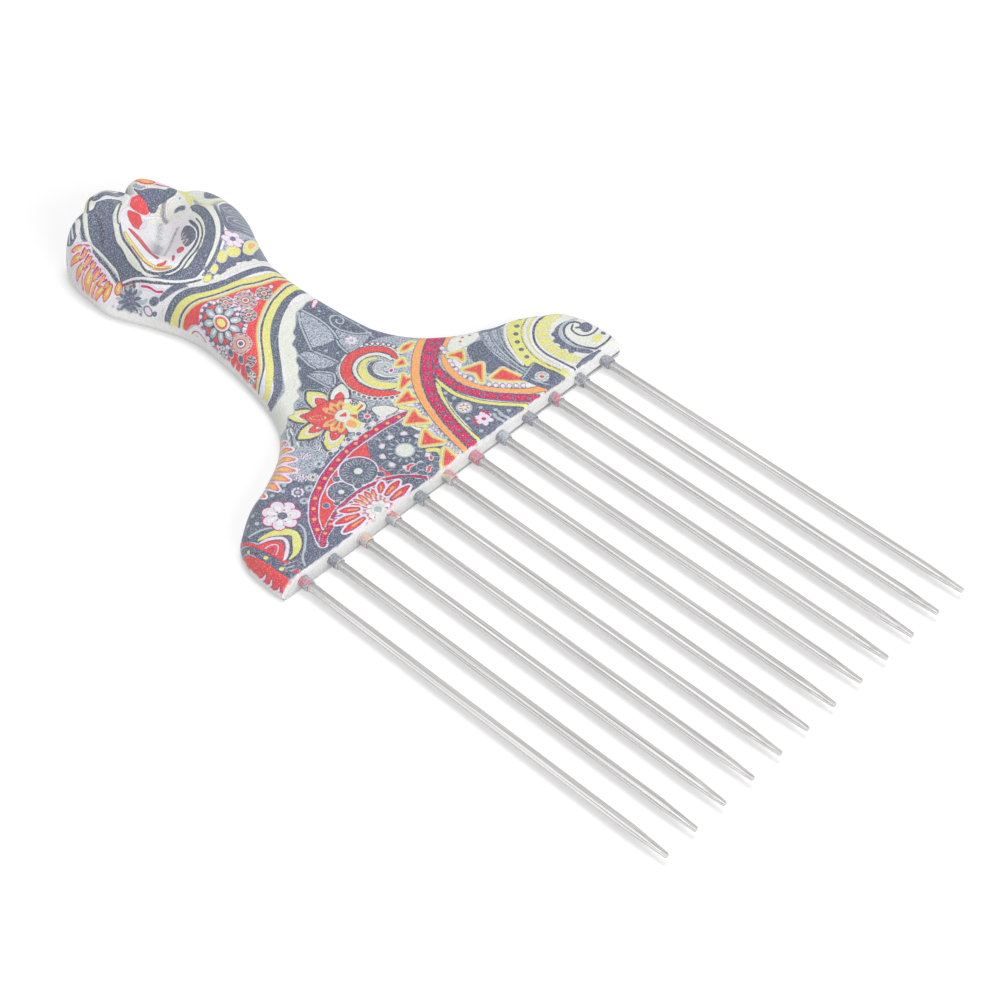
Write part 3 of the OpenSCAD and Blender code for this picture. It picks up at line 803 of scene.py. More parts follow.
for x, y in (
        (-13.6, 19.4), (-14.6, 24.6), (-15.6, 19.8), (-10.4, 27.6), (-5, 27.6), (-14, 28.4), (-3.6, 21.6)):
    rosette(x, y, 0.75, "slate", "lilac", "teal", 7)

# Coiled crescent
spot("stipple", 4.6, 24, 5.4)
stroke("coral", 1.75, (3.3, 18, 0.45), (1.3, 19.7, 0.9), (-0.1, 22), (-0.6, 24), (-0.3, 26), (0.6, 28),
       (2.2, 29.4), (4.5, 30.1), (6.8, 29.6, 0.9), (8.7, 28.2, 0.8), (9.6, 26.3, 0.6), (9.2, 24, 0.3),
       cream=0.42, line=0.16)
stroke("cream", 0.8, (3.8, 19.3, 0.4), (2.2, 20.6), (1, 22.6), (0.9, 25), (1.8, 27.2), (3.6, 28.5),
       (5.8, 28.6), (7.6, 27.6), (8.4, 26), (8.3, 24.6, 0.4), line=0.15)
stroke("line", 0.24, (3.9, 18.9), (2, 20.2), (0.8, 22.4), (0.6, 25), (1.5, 27.4), (3.4, 28.9), (5.8, 29),
       (7.9, 27.9), (8.9, 26))
stroke("lime", 1.6, (4.8, 19.2, 0.5), (3.4, 20.3), (2.3, 22), (2.1, 24), (2.7, 25.9), (3.9, 27.2, 0.7),
       (5.4, 27.6, 0.5), (6.8, 26.8, 0.3))
stroke("slate", 0.85, (5.4, 20.9, 0.5), (4, 22.2), (3.5, 23.8), (3.7, 25), (4.4, 26), (5.7, 26.4, 0.6),
       (6.9, 25.8, 0.4), cream=0.2)
stroke("teal", 0.5, (6.6, 21.2, 0.5), (5.1, 22.3), (4.7, 23.8), (5.3, 25), (6.5, 25.1), (7.2, 24.1),
       (6.6, 23.2), (5.9, 23.6, 0.5), cream=0.22)
spot("magenta", 6.4, 22.7, 0.45, 0.6, 30, lilac=0.3)
dots("slate", 0.34, *spaced(0.95, (2.6, 17.3), (0.2, 19), (-1.3, 21), (-1.9, 23.4)), cream=0.2)
dots("cream", 0.3, *spaced(1, (6.3, 31.3), (8.8, 30.1), (10.5, 28), (11.1, 26), (10.4, 24)), slate=0.2)

# Zigzag of flames and the pale stripes behind it
for nodes_at in (
        ((-4, -1.5), (-2.6, 1), (-1.8, 3.2), (-3, 4.4)), ((1, 8.6), (0, 10.2), (0.6, 11.6)),
        ((2.2, 13.4), (1.2, 15), (1.6, 16.4)), ((2.6, 2.8), (1.2, 3.6), (0.4, 3.2))):
    stroke("lime", 0.9, *nodes_at, line=0.12)
for k, (x, y) in enumerate(spaced(0.8, (0.2, -0.6), (0.8, 3), (1.5, 6), (2.4, 9.5), (3.6, 13), (5.2, 16.6),
                                  (7.2, 19.6), (9.6, 22.2), (12.4, 24.4))):
    stroke("lilac", 0.36, (x - 0.6, y - 0.5), (x + 0.1, y + 0.1 * (k % 4)), (x - 0.2, y + 0.6), teal=0.26,
           line=0.06)
for corners in (
        ((4.4, 18.4), (7, 20.4), (6.6, 19.4), (7.4, 18.9)),
        ((1.5, 16.2), (4.7, 16.9), (4, 15.6), (4.4, 14.4)),
        ((-0.9, 11.6), (2.1, 12.9), (1.5, 11.2), (1.9, 9.4)), ((-2.7, 6.1), (-0.1, 8), (-0.5, 6), (0.1, 4)),
        ((-3.6, 0.1), (-0.8, 2.4), (-1.1, 0.6), (-0.6, -1.2)), ((8, 23), (9.6, 23.3), (9.2, 22.3)),
        ((11.2, 25), (12.3, 25.5), (13.8, 25.1), (12.4, 24.7))):
    flame(*corners)

# The two banded arcs that cross beside the flames, and the wedge that they leave
field("slate", (5.2, -3), (5.8, 3), (7, 8), (8.6, 12), (9.8, 14.6), (10.2, 11), (11.4, 6.8), (13, 3.6),
      (15.4, 0.8), (17, -3))
spot("cream", 8.6, 7.2, 1.15, teal=0.3)
petals("coral", 8.6, 7.2, 7, 0.35, 1, 0.3)
dots("teal", 0.4, (7.6, 9.6), (9.1, 10.1), (8.9, 12), (7.1, 4.9), (10.6, 5.2), (12, 3), (13.4, 1.2),
     (6.6, 1.2))
petals("lilac", 9, 2.9, 6, 0.2, 1.7, 1)
stroke("magenta", 0.55, (7.4, 2.4, 0.4), (7.4, 3.6), (8.3, 4.3, 0.4))
stroke("magenta", 0.55, (9.9, 4.6, 0.4), (10.4, 3.8), (10.2, 2.6, 0.4))
spot("magenta", 9, 2.9, 0.4)
for x in (11, 12.1):
    stroke("teal", 0.34, (x, 0), (x - 0.3, 1.4), (x, 2.4), cream=0.14)
stroke("lime", 0.62, (4.6, -1.5), (5.1, 3), (5.7, 6), (6.6, 9), (8, 12), (9.4, 14.2), (10.6, 15.8, 0.6),
       line=0.16)
stroke("lime", 0.72, (10.4, 15.6, 0.6), (10, 13.5), (9.9, 11), (10.4, 9), (11.4, 6.5), (12.8, 4.3),
       (14.5, 2.2), (17.6, -1.4), line=0.16)
arc_b = ((18.4, 22.6), (15.6, 21.2), (13.4, 19.6), (12.2, 17.8), (11.6, 15.6), (11.4, 13), (11.7, 10.6),
         (12.7, 8), (13.5, 6.5), (15, 4.4), (16.8, 2.2), (20, -1.4))
stroke("orange", 1.35, (20, 21.9), (16.5, 19.5), (14.9, 17.8), (13.8, 15.8), (13.3, 13.5), (13.4, 11),
       (14.1, 8.6), (15.3, 6.5), (17, 4.3), (19, 2.2), (21, 1), (26, -1.4), cream=0.34, line=0.16,
       coral=0.06)
stroke("magenta", 1.5, *arc_b, lilac=0.36, line=0.24)
stroke("orange", 1.35, (1.4, -1.5), (2.1, 3), (2.7, 6), (3.6, 9.5), (4.9, 13), (6.4, 16), (8.3, 18.6),
       (10.5, 20.8), (13, 22.8), (15.5, 24.1), (19, 25.4), cream=0.36, line=0.18, coral=0.06)
stroke("magenta", 1.75, (2.9, -1.5), (3.8, 3.5), (4.6, 7), (5.6, 10), (7, 13.3), (9, 16.3), (11.2, 18.8),
       (13.5, 20.8), (16, 22.5), (19, 24), lilac=0.36, line=0.26)
dots("slate", 0.42, *spaced(2.7, (3.3, 1.2), (4, 4.4), (4.8, 7.6), (5.9, 10.7), (7.3, 13.7), (9.2, 16.5),
                            (11.4, 18.9), (13.7, 20.8), (16.2, 22.4)))
dots("slate", 0.38, *spaced(2.6, (12.4, 17.6), (11.5, 13.4), (12, 10), (13.2, 7), (15, 4.4), (18, 0.8)))
dots("lilac", 0.14, *spaced(2.7, (3.6, 2.6), (4.5, 6.2), (5.4, 9.2), (6.6, 12.2), (8.2, 15.1), (10.3, 17.8),
                            (12.6, 19.9), (15, 21.6)))

# Right of the arcs: flames, white leaves and slate
field("slate", (18, 9.4), (17.4, 12), (18.4, 15.4), (20, 17.4), (22.6, 16.8), (22.2, 13), (21.8, 9),
      (21, 6.6), (19.6, 7))
field("cream", (16.8, 19), (19.5, 20.9), (22.5, 20), (24, 18.5), (22.5, 17.6), (19.5, 17.8), teal=0.2)
dots("magenta", 0.28, (21, 19.7), (22.3, 19.2), (20, 19.3))
for x, y in spaced(1.15, (16.6, 20.4), (15.6, 18), (14.6, 15.4), (14.3, 12.6), (14.8, 9.9), (16, 7.6),
                   (17.6, 5.6), (19.6, 3.7)):
    spot("lilac", x, y, 0.5, 0.7, 50, teal=0.2, line=0.08)
for corners in (
        ((16.2, 18.1), (18.3, 17.3), (16.9, 15.7), (17, 16.9)),
        ((15.3, 13.7), (18.4, 12.6), (15.4, 9.6), (16.4, 11.7)),
        ((17.2, 8.8), (20, 9), (20.8, 4.6), (18.8, 6.5))):
    flame(*corners)

# Long stippled leaves towards the right edge
field("stipple", (25, 20), (22.8, 16), (22, 13), (21.8, 10), (22, 5.7), (22.9, 5.8), (23.2, 7), (24.5, 13),
      (27.8, 17.6))
for nodes_at in (
        ((25, 19.8), (22.8, 16), (22, 13), (21.8, 10), (21.9, 7), (22, 5.4)),
        ((28.2, 17.8), (26, 15.5), (24.5, 13), (23.6, 10), (23.2, 7), (22.8, 5.6)),
        ((26.6, 19), (24.4, 15.6), (23.2, 12), (22.7, 8.6), (22.6, 6))):
    stroke("teal", 0.34, *nodes_at, line=0.18)
field("slate", (24.5, 18.2), (27.6, 16.8), (30.5, 16.2), (32.8, 17), (27, 20.6))
stroke("teal", 0.3, (25.6, 18.4), (28, 17.4), (31, 17))

# Lime fan with its dark beads, and the small ground at its foot
field("lime", (30.2, 17), (27.5, 15.1), (25.7, 12.5), (24.5, 9.8), (23.7, 7.3), (23.6, 6.4), (25.2, 6.2),
      (25.6, 4), (26.1, 2), (26.6, -1.5), (28.6, -1.5), (27.9, 3), (27.4, 6), (27.9, 8.8), (29.2, 11.2),
      (31.4, 13.2), (34, 14.2), (32.4, 16), line=0.28)
stroke("cream", 0.55, (31, 17.2), (27.9, 15.9), (25.6, 13.2), (24.3, 10.2), (23.5, 7.4))
stroke("cream", 0.7, (33.4, 14.9), (30.4, 13.4), (28.4, 11.2), (27.2, 8.6), (26.9, 5.4), (27.4, 2))
stroke("line", 0.2, (33.6, 15.4), (30.1, 14), (27.9, 11.7), (26.6, 8.8), (26.2, 5.6), (26.9, 1.6))
dots("slate", 0.46, *spaced(1.95, (31.6, 16), (29.3, 14.5), (27.4, 12.7), (26.1, 10.4), (25.3, 8.2)))
field("slate", (20.6, 4.9), (22.6, 5.4), (24.9, 6), (25.2, 3.8), (25.9, 1.5), (26.2, -1.5), (22.6, -1.5))
stroke("teal", 0.3, (20.6, 4.9), (22.8, 5.6), (24.9, 6.2), line=0.14)
rosette(23.5, 2.9, 1.3, "cream", "teal", "coral", 8)
stroke("teal", 0.35, (21.8, 3.8), (22.2, 2.2), (22.8, 0.8))

# Big cream snail at the right end of the head
field("cream", (29, -2), (27.9, 3.6), (27.7, 7), (28.8, 10.4), (31.4, 13), (34.6, 14), (39, 15), (46, 10),
      (46, -3))
stroke("plain", 0.9, (28.6, -1.5), (28.1, 3), (27.8, 6.4), (28.6, 9.4), (30.6, 12), (33.2, 13.4),
       (36.5, 13.8))
stroke("line", 0.42, (29.1, -1.5), (28.5, 3.4), (28.2, 6.5), (28.8, 9.2), (30.2, 11.2), (32, 12.6),
       (34, 13.2), (36.4, 13))
stroke("lime", 2.2, (31, 1, 0.7), (30.1, 4, 0.9), (30.1, 7), (31, 9.6), (33, 11.4), (35.6, 12, 0.9),
       (38.4, 11.6, 0.6))
for turn in range(78, 262, 17):
    stroke("cream", 0.34, toward(36.6, 5.6, turn, 4.6), toward(36.6, 5.6, turn, 7.7))
stroke("slate", 1.9, (34.2, 0.6, 0.4), (33, 3, 0.8), (32.5, 5.4), (33, 7.4), (34.4, 8.8, 0.9),
       (36.4, 9.3, 0.4))
dots("slate", 0.6, (31.9, 3.6), (31.6, 5.4), (31.9, 7.2), (32.9, 8.6))
field("cream", (35, 1.5), (33.6, 3.6), (33.2, 6), (34, 8), (35.6, 9.2), (37.6, 9), (40.5, 7), (41.5, 2.5),
      (38, 1.2))
stroke("teal", 0.5, (38.6, 8.6), (36.4, 9.3), (34.4, 8.7), (33.2, 7.3), (32.9, 5.5), (33.3, 3.7), (34.4, 2),
       (35.4, 0.6))
stroke("line", 0.42, (35.4, 0.8), (34, 3), (33.6, 5), (33.9, 7), (35.1, 8.4), (36.7, 8.8), (37.9, 8.1),
       (38.1, 7.2), (37.4, 6.7), (36.8, 7.1))
stroke("line", 0.36, (37, 8), (36, 7.4), (35.7, 6.2), (36, 5), (37, 4.2), (38.3, 4), (39.8, 4.4), (42, 5.6))
spot("slate", 38.2, 5.9, 1.35, 0.8, 30)
spot("lime", 37.4, 2.6, 1.1, 0.7, 10)
spot("slate", 39.2, 2.7, 0.5)
stroke("line", 0.4, (35, 1.1), (36.5, 0.8), (38.5, 0.9), (40.3, 1.6), (42.5, 3))
stroke("slate", 0.9, (29.6, 0.2, 0.6), (32, 0.4), (35.4, 0.1, 0.6), plain=0.25)

# What the print left on the collars' tops, where the sheet wrapped over them
for x, ink in (
        (36.3, "slate"), (29.7, "slate"), (23.1, "magenta"), (16.5, "slate"), (9.9, "stipple"),
        (3.3, "magenta"), (-3.3, "tan"), (-9.9, "slate"), (-16.5, "teal"), (-23.1, "tan"), (-29.7, "slate"),
        (-36.3, "stipple")):
    spot(ink, x, -1.3, 1.2)
for x, ink in ((-2.9, "coral"), (-16.2, "coral"), (-22.9, "orange"), (-36.6, "magenta")):
    spot(ink, x, -1.1, 0.5)

# Neck: stippled leaves in pale lines on slate
for corners in (
        ((-4.7, 32), (-4.2, 27.5), (-3, 27), (-1, 29.3), (-3, 31.6)),
        ((-2.6, 36.4), (-2.5, 32.7), (-0.2, 31), (1.4, 31), (0.9, 33.6), (-0.2, 36)),
        ((5.6, 36), (4.3, 31.6), (8, 31.2), (10.6, 32.4), (8.7, 34), (7, 36.4)),
        ((4.4, 43.8), (2.5, 41.5), (1.5, 39.5), (0.5, 36.5), (5.3, 35.4), (6, 39), (5.6, 41.4))):
    field("stipple", *corners)
for nodes_at in (
        ((-2.5, 36.6), (-2.6, 34), (-2.5, 32.5)), ((-0.3, 36.4), (1, 33.5), (1.5, 30.8)),
        ((5.6, 36), (4.6, 34), (4.2, 31.3)), ((7.1, 36.4), (8.7, 34), (10.8, 32.2)),
        ((-4.6, 32.2), (-4.3, 29), (-4, 27.2)), ((-3, 32), (-1.2, 29.5), (-2.6, 27.4)),
        ((4.1, 43.6), (2.5, 41.5), (1.5, 39.5), (0.6, 37.5), (0, 36)),
        ((4.9, 43.6), (5.7, 41), (6, 39), (5.9, 37), (5.4, 35))):
    stroke("teal", 0.36, *nodes_at, line=0.2)
for k in range(5):
    stroke("teal", 0.24, (3.4, 37 + 1.1 * k), (2 + 0.3 * k, 37.9 + 1.1 * k))
    stroke("teal", 0.24, (3.5, 37 + 1.1 * k), (5 - 0.1 * k, 37.9 + 1.1 * k))
petals("lilac", 6.9, 33.2, 7, 0.2, 1.2, 0.6)
spot("teal", 6.9, 33.2, 0.32)
stroke("teal", 0.34, (7.1, 36.4), (6.9, 38.2), (7.8, 39.4), (9.2, 39), (9.3, 37.7), (8.4, 37.1), (7.8, 37.8),
       (8.3, 38.4), line=0.14)
stroke("teal", 0.32, (10.2, 31), (10.6, 34), (10.2, 37), (9.4, 41))
dots("teal", 0.3, (0.8, 42.3), (7.2, 41.6), (10.8, 35.4), (9.6, 41.6), (-4.4, 34.4), (3, 32.6), (1.9, 34.4),
     (11.6, 38.6))

# Cream scalloped border of the neck
field("cream", (12, 47.5), (8, 46.8), (5, 46.6), (3, 45.7), (1, 44.7), (-1, 43.2), (-3, 41.4), (-5, 39),
      (-7, 36.2), (-8.5, 34), (-10, 32.2), (-12, 31.6), (-14, 31.9), (-18, 34.5), (-20, 31), (-17, 26.3),
      (-15, 26.5), (-14, 27.4), (-12.6, 27.2), (-11, 28.9), (-9.2, 29.4), (-8.5, 30.8), (-7, 31.4),
      (-6.1, 32.9), (-5.5, 33.8), (-4.4, 34.7), (-3.8, 36), (-2.7, 36.9), (-2, 38.1), (-1.8, 39.1),
      (-0.3, 39.9), (0.1, 40.9), (1.3, 41.6), (2.4, 42.6), (3.8, 43.9), (5.5, 44.1), (7, 44.5), (9, 44.2),
      (12.5, 45), teal=0.2)
petal((7, 43), (9.6, 44.4), 1.1, "lilac", "magenta")

# Coral triangle of the wrist, in its orange, lime, cream and slate borders
lower_side = ((11, 51), (8, 50.4), (6, 50.1), (4, 49.7), (2, 49.2), (0, 48.3), (-2, 47.2), (-4, 45.8),
              (-6, 43.8), (-8, 41.2), (-10, 39), (-12, 38.2), (-14, 38), (-17, 38.6))
upper_side = ((-17, 55.6), (-14, 56.7), (-12, 57.1), (-10, 57), (-8, 56.3), (-6, 55.2), (-4, 54.3),
              (-2, 53.7), (0, 53.2), (2, 52.3), (4, 51.7), (6, 51.3), (8, 50.7), (11, 51.1))
field("plain", (14, 45.8), (14, 60), (0, 60), (-16, 63), (-20, 48), (-16, 33), (-8, 36), (0, 45))
stroke("slate", 1.5, (14, 47.8), (9, 47.3), (7, 47.3), (5, 47.1), (3, 46.3), (1, 45.3), (-1, 44), (-3, 42.3),
       (-5, 40), (-7, 37.3), (-9, 35), (-11, 33.2), (-13, 32.8), (-15, 33.5), (-18, 35.6))
stroke("lime", 1.35, (13, 48.8), (8, 48.4), (6, 48.3), (4, 48), (2, 47.3), (0, 46.3), (-2, 45), (-4, 43.2),
       (-5.8, 41), (-7.5, 38.7), (-9, 37), (-11, 35.5), (-13, 34.7), (-17, 36.4))
stroke("slate", 1.45, (14, 52), (9, 53.8), (7, 54.6), (5, 55.3), (3, 55.8), (1, 56.1), (-1, 56.4), (-3, 57),
       (-5, 58), (-7, 59.2), (-9, 60), (-11, 60.3), (-13, 60.1), (-14.5, 59.8), (-18, 58))
stroke("lime", 1.35, (13, 51), (8, 52.3), (6, 52.9), (4, 53.4), (2, 54.1), (0, 54.9), (-2, 55.3), (-4, 55.9),
       (-6, 57), (-8, 58.2), (-10, 58.9), (-12, 59), (-14, 58.8), (-17, 57.6))
field("coral", *lower_side, *upper_side, line=1.15, cream=0.8, lime=0.5, orange=0.22)
stroke("cream", 0.9, (12, 56.6), (9, 56), (6, 57), (3, 57.9), (0, 58), (-2, 58.3), (-4, 58.9), (-6, 60.3))

# Flowers in the triangle
spot("slate", -8, 50.6, 4.45, 1.06, lilac=0.2, coral=0.04)
for k in range(22):
    spot("lilac", *toward(-8, 50.6, 360 / 22 * k, 4.3, 4.55), 0.36, magenta=0.1)
spot("coral", -8, 50.6, 3.7, 1.06)
for turn in range(10, 370, 40):
    petal(toward(-8, 50.6, turn, 1.6, 1.7), toward(-8, 50.6, turn, 3.6, 3.8), 2, "teal", "line", "cream")
for ink, radius, flatness in (
        ("line", 1.75, 1.1), ("lilac", 1.5, 1.2), ("orange", 1.2, 1.2), ("coral", 1, 1.25),
        ("lime", 0.74, 1.3)):
    spot(ink, -8, 50.6, radius, flatness)


def small_flower(x, y, radius, rim, fill, heart, count=10):
    """A flower of the triangle: a pale ground, a ring of petals and a heart."""
    spot(rim, x, y, radius, lilac=0.16)
    petals(fill, x, y, count, 0.4 * radius, 0.98 * radius, 0.42 * radius)
    spot(rim, x, y, 0.5 * radius)
    spot("cream", x, y, 0.4 * radius)
    spot(heart, x, y, 0.24 * radius)


spot("magenta", -1.4, 51.2, 1.95, lilac=0.18)
for flower in (
        (-1.4, 51.2, 1.6, "line", "tan", "coral"), (2.2, 50.4, 1.35, "line", "tan", "coral", 8),
        (-4.4, 53.1, 1.25, "line", "tan", "coral", 8), (-3.2, 48.5, 1.3, "line", "tan", "magenta", 8),
        (-8.5, 45, 1.95, "magenta", "tan", "slate", 12), (-9.8, 41.2, 0.95, "line", "tan", "magenta", 7),
        (-12.2, 39.6, 1.1, "slate", "cream", "lime", 7), (-12.6, 47.8, 1.2, "slate", "lilac", "teal", 8)):
    small_flower(*flower)
for x, y in (
        (-4.2, 50.9), (-4.6, 49.9), (0.5, 50.2), (-5.9, 46.8), (-11.2, 43), (-11.6, 54.2), (-6, 54.4),
        (0.4, 52.4), (4.3, 50.8)):
    spot("lilac", x, y, 0.42, 0.7, 40, slate=0.12)
for y in (46, 44.5, 43):
    petal((-15, y + 0.2), (-12, y - 0.4), 0.8, "lilac", "coral")
for x, y in ((-11.3, 46), (-10.9, 43.3), (-11.4, 41)):
    spot("slate", x, y, 0.75, 0.75, 60, cream=0.2)
field("plain", (-17, 56.6), (-13.4, 56), (-12, 55.2), (-11.7, 54), (-12.3, 52.4), (-13, 50.6), (-13.4, 49),
      (-17, 47), lilac=0.25, coral=0.05)
for y in (48.8, 50.6, 52.4, 54):
    stroke("teal", 0.34, (-16.4, y), (-14.6, y + 0.6), (-13.4, y + 0.4))
stroke("coral", 0.22, (-15, 55.4), (-13.2, 55.2), (-12.5, 54), (-13.1, 52.2), (-14.2, 50.4))
stroke("coral", 0.3, (-15.6, 56.4), (-13.4, 57), (-11.2, 57.2))

# Lime drops on slate between the wrist and the fist
field("cream", (-16, 64), (-12, 63), (-8, 61.8), (-4, 60.4), (-2, 58.9), (-4, 58.2), (-8, 60.7), (-13, 61.4),
      (-18, 60))
field("slate", (-3.5, 58.6), (0, 58.4), (1, 58.7), (3, 58.5), (3.6, 58.9), (5.5, 58), (8, 57), (11.5, 57.6),
      (14.5, 60), (17, 63.6), (13, 63.4), (7, 62.6), (4, 62), (0, 60.7), (-3, 59.6))
dots("cream", 0.75, (-1.6, 58.2), (2, 57.9), (4.6, 57.8), (6.6, 57.3))
spot("lime", -3.1, 59.2, 0.85, 0.7, 15, cream=0.2, line=0.1)
for drop in ((-0.8, 60, 0.95, 0.6, 30), (2.3, 61.4, 1.35, 0.62, 38), (5, 61.4, 1.35, 0.85, 30)):
    spot("lime", *drop, cream=0.2)
stroke("lime", 2, (7.4, 60, 0.8), (9, 61), (11.5, 61.9, 0.9), (15, 63, 0.3), cream=0.25)
stroke("orange", 0.9, (8.6, 60.8, 0.4), (10, 61.5), (12.5, 62.2, 0.3))
stroke("cream", 1.3, (-1, 61.6), (1, 62.6), (3, 63.9), (5, 65.5), (6.7, 67.3), (8, 69.3), (8.6, 71),
       (9.2, 73.4), plain=0.3)
stroke("slate", 0.6, (-3.2, 60.2), (-1, 60.9), (1.3, 62), (3, 63.1), (5, 64.5), (6.5, 65.9), (8, 67.7),
       (9, 69.6), (9.8, 71.2), (10.7, 72.4))
stroke("plain", 0.45, (3.4, 62.8), (5.5, 64.3), (7, 65.6), (8, 66.7), (9, 68.1), (10, 69.9), (11, 71.5),
       (11.8, 72.5), (13, 73.3), (15, 74), (17, 74.2), (20, 73.4))
field("slate", (9, 68.4), (10, 70), (11, 71.5), (12, 72.5), (13.5, 73.2), (15.5, 73.5), (18, 73.4), (21, 71),
      (20, 67), (16.5, 65), (14, 64.2), (11.5, 64.6), (9.5, 65.1), (8, 65.7), (7.9, 66.7))
for nodes_at in (
        ((18, 72.4), (14.6, 72.3), (12.2, 71.5), (11.6, 70.6), (13.2, 69.9), (18, 69.9)),
        ((18, 71.4), (15, 71.4), (13.2, 70.9), (15, 70.7)), ((18, 70.6), (15, 70.7)),
        ((18, 69), (13.6, 69.1), (10.6, 68.6), (9.5, 67.6), (10.8, 66.6), (14, 66.1), (17.6, 66.3)),
        ((18, 68.1), (14, 68.2), (11.4, 67.7), (13.6, 67.2), (17.8, 67.3)), ((16.8, 65.4), (12, 65.4))):
    stroke("teal", 0.24, *nodes_at, line=0.12)
petals("lilac", 7.1, 63.7, 6, 0.3, 1.95, 1.35, 25, magenta=0.1)
spot("slate", 7.1, 63.8, 0.6, 0.85, 20)

# Palm of the fist: a slate loop between cream bands
field("cream", (-9.2, 85.2), (-10.9, 83.4), (-11.9, 81.5), (-12.6, 78.5), (-13.3, 75), (-14.2, 72),
      (-15, 70), (-12, 66.2), (-8, 62.6), (-4.4, 60.7), (-2, 61.3), (3, 64.3), (6.5, 67.8), (8.6, 72),
      (8.4, 75.4), (10.8, 79), (12, 82), (4, 88), (-4, 90))
stroke("line", 0.5, (-9.4, 85.8), (-11, 83.9), (-12.2, 82), (-12.7, 80), (-13.1, 78), (-13.6, 76),
       (-14.1, 74), (-15.2, 70.8), (-16, 69.4))
field("slate", (-9.3, 83.6), (-10.8, 81.9), (-11.7, 79.9), (-12, 78), (-12.4, 76), (-12.9, 74), (-13.5, 72),
      (-14.8, 69.8), (-13, 67.6), (-11, 65.5), (-9, 63.7), (-7, 62.2), (-4.5, 60.9), (-2, 61.5), (0, 62.6),
      (2, 63.8), (4, 65.3), (5.5, 66.8), (6.5, 68.2), (7.3, 69.8), (7.9, 71.6), (8.3, 73.4), (8.1, 75.2),
      (7.2, 75.2), (6.8, 74), (6.5, 72.2), (5.9, 70.3), (5, 68.6), (3.5, 66.7), (2, 65.6), (0, 64.4),
      (-1.5, 63.6), (-3, 63), (-4.6, 62.8), (-6.5, 63.3), (-8, 64.1), (-9.5, 65.1), (-11.5, 67),
      (-12.2, 68.6), (-11.7, 71), (-11, 72.5), (-10.4, 74), (-10, 75.6), (-9.2, 77), (-7.6, 79.4),
      (-6, 81.3), (-4, 82.4), (-1.6, 83), (-3.5, 83.7), (-5, 84.1), (-6.4, 84.4), (-8, 83.6), line=0.22)
stroke("line", 0.9, (-8.4, 83.4, 0.3), (-8.7, 81.5, 0.8), (-9.6, 79.8), (-10.7, 78.6, 0.8),
       (-11.6, 77.6, 0.3))
stroke("plain", 0.4, (-6.9, 85), (-5, 84.4), (-3.5, 83.9), (-2.3, 83.9), (-1, 84.7), (0, 85.3), (1.3, 85.4),
       (2.4, 86.4))
field("slate", (-6.8, 85.3), (-4.5, 84.9), (-3, 84.3), (-2, 84.4), (-0.8, 85.1), (0.5, 85.8), (1.3, 86.6),
      (1.6, 89.5), (-2, 90.5), (-6, 89.5))
stroke("lilac", 0.5, (-5.6, 86.4), (-3.4, 86.9), (-1.2, 86.6), (0.8, 87.6))
field("lime", (-9.6, 85.4), (-8, 86), (-6.6, 86.2), (-6.6, 89), (-9, 90))
stroke("line", 0.5, (-9.2, 84), (-8, 85.4), (-6.4, 86.6), (-6, 89))

# Bands inside the loop
field("plain", (-2.2, 83), (-4.4, 82), (-6.5, 80.3), (-7.6, 78), (-8.9, 75.6), (-9.8, 73), (-10.8, 70),
      (-11.4, 67.6), (-9.6, 65.8), (-7.4, 64.2), (-5, 63.6), (-1.6, 64.3), (1.4, 66), (3.6, 68), (5, 70.8),
      (6.2, 73.6), (7.4, 76.4), (5, 80), (2.6, 83), (1, 85))
field("cream", (6.2, 74.8), (4.6, 75.6), (2.6, 77.6), (0.6, 79.4), (2, 80.6), (4.4, 80), (7, 79.6),
      (8.6, 80.2), (10.6, 80.4), (9.4, 77.6), (7.6, 75.8))
stroke("cream", 1, (-1.6, 82.9), (-3.8, 81.9), (-5.6, 80.3), (-7, 78.4), (-8.5, 75.8), (-9.5, 73),
       (-10.4, 70), (-11.2, 67.2), (-9.6, 65.6), (-7.4, 64.2), (-5.2, 63.7), (-2.6, 64.2), (0.2, 65.2),
       (2.2, 66.6), (3.8, 68.4), (4.8, 70.6), (5.6, 73))
stroke("line", 0.26, (-2.3, 83), (-3.5, 82.1), (-4.7, 81.1), (-5.7, 80.1), (-6.9, 78.5))
stroke("line", 0.42, (-6.4, 78.6, 0.5), (-7.6, 77), (-8.7, 75), (-9.2, 73.3), (-9.7, 71.5), (-10.3, 69.4),
       (-10.9, 67.4), (-10, 65.9), (-8.5, 64.9), (-7, 64.3), (-5.5, 64.1), (-4, 64.5), (-2, 65), (0, 65.8),
       (1.5, 66.8), (2.7, 68), (3.5, 69.4, 1.3), (4, 71, 1.6), (4.4, 72.4, 0.8))
stroke("line", 0.3, (-9.3, 64.9), (-7.6, 63.8), (-5.6, 63.4), (-3.6, 63.8), (-1, 64.5), (1.2, 65.7),
       (3, 67.2), (4.4, 69.2), (5.2, 71.4))
stroke("lime", 0.58, (-6.6, 64.9, 0.6), (-8.7, 66), (-9.5, 67.3), (-9.6, 68.8), (-9.2, 70.4), (-8.7, 72),
       (-8.2, 74), (-7.4, 76, 0.6), orange=0.12)
stroke("coral", 0.2, (-6.9, 65), (-8.3, 65.6), (-9.4, 66.8), (-9.9, 68.4), (-9.4, 70.6), (-8.8, 72.6))
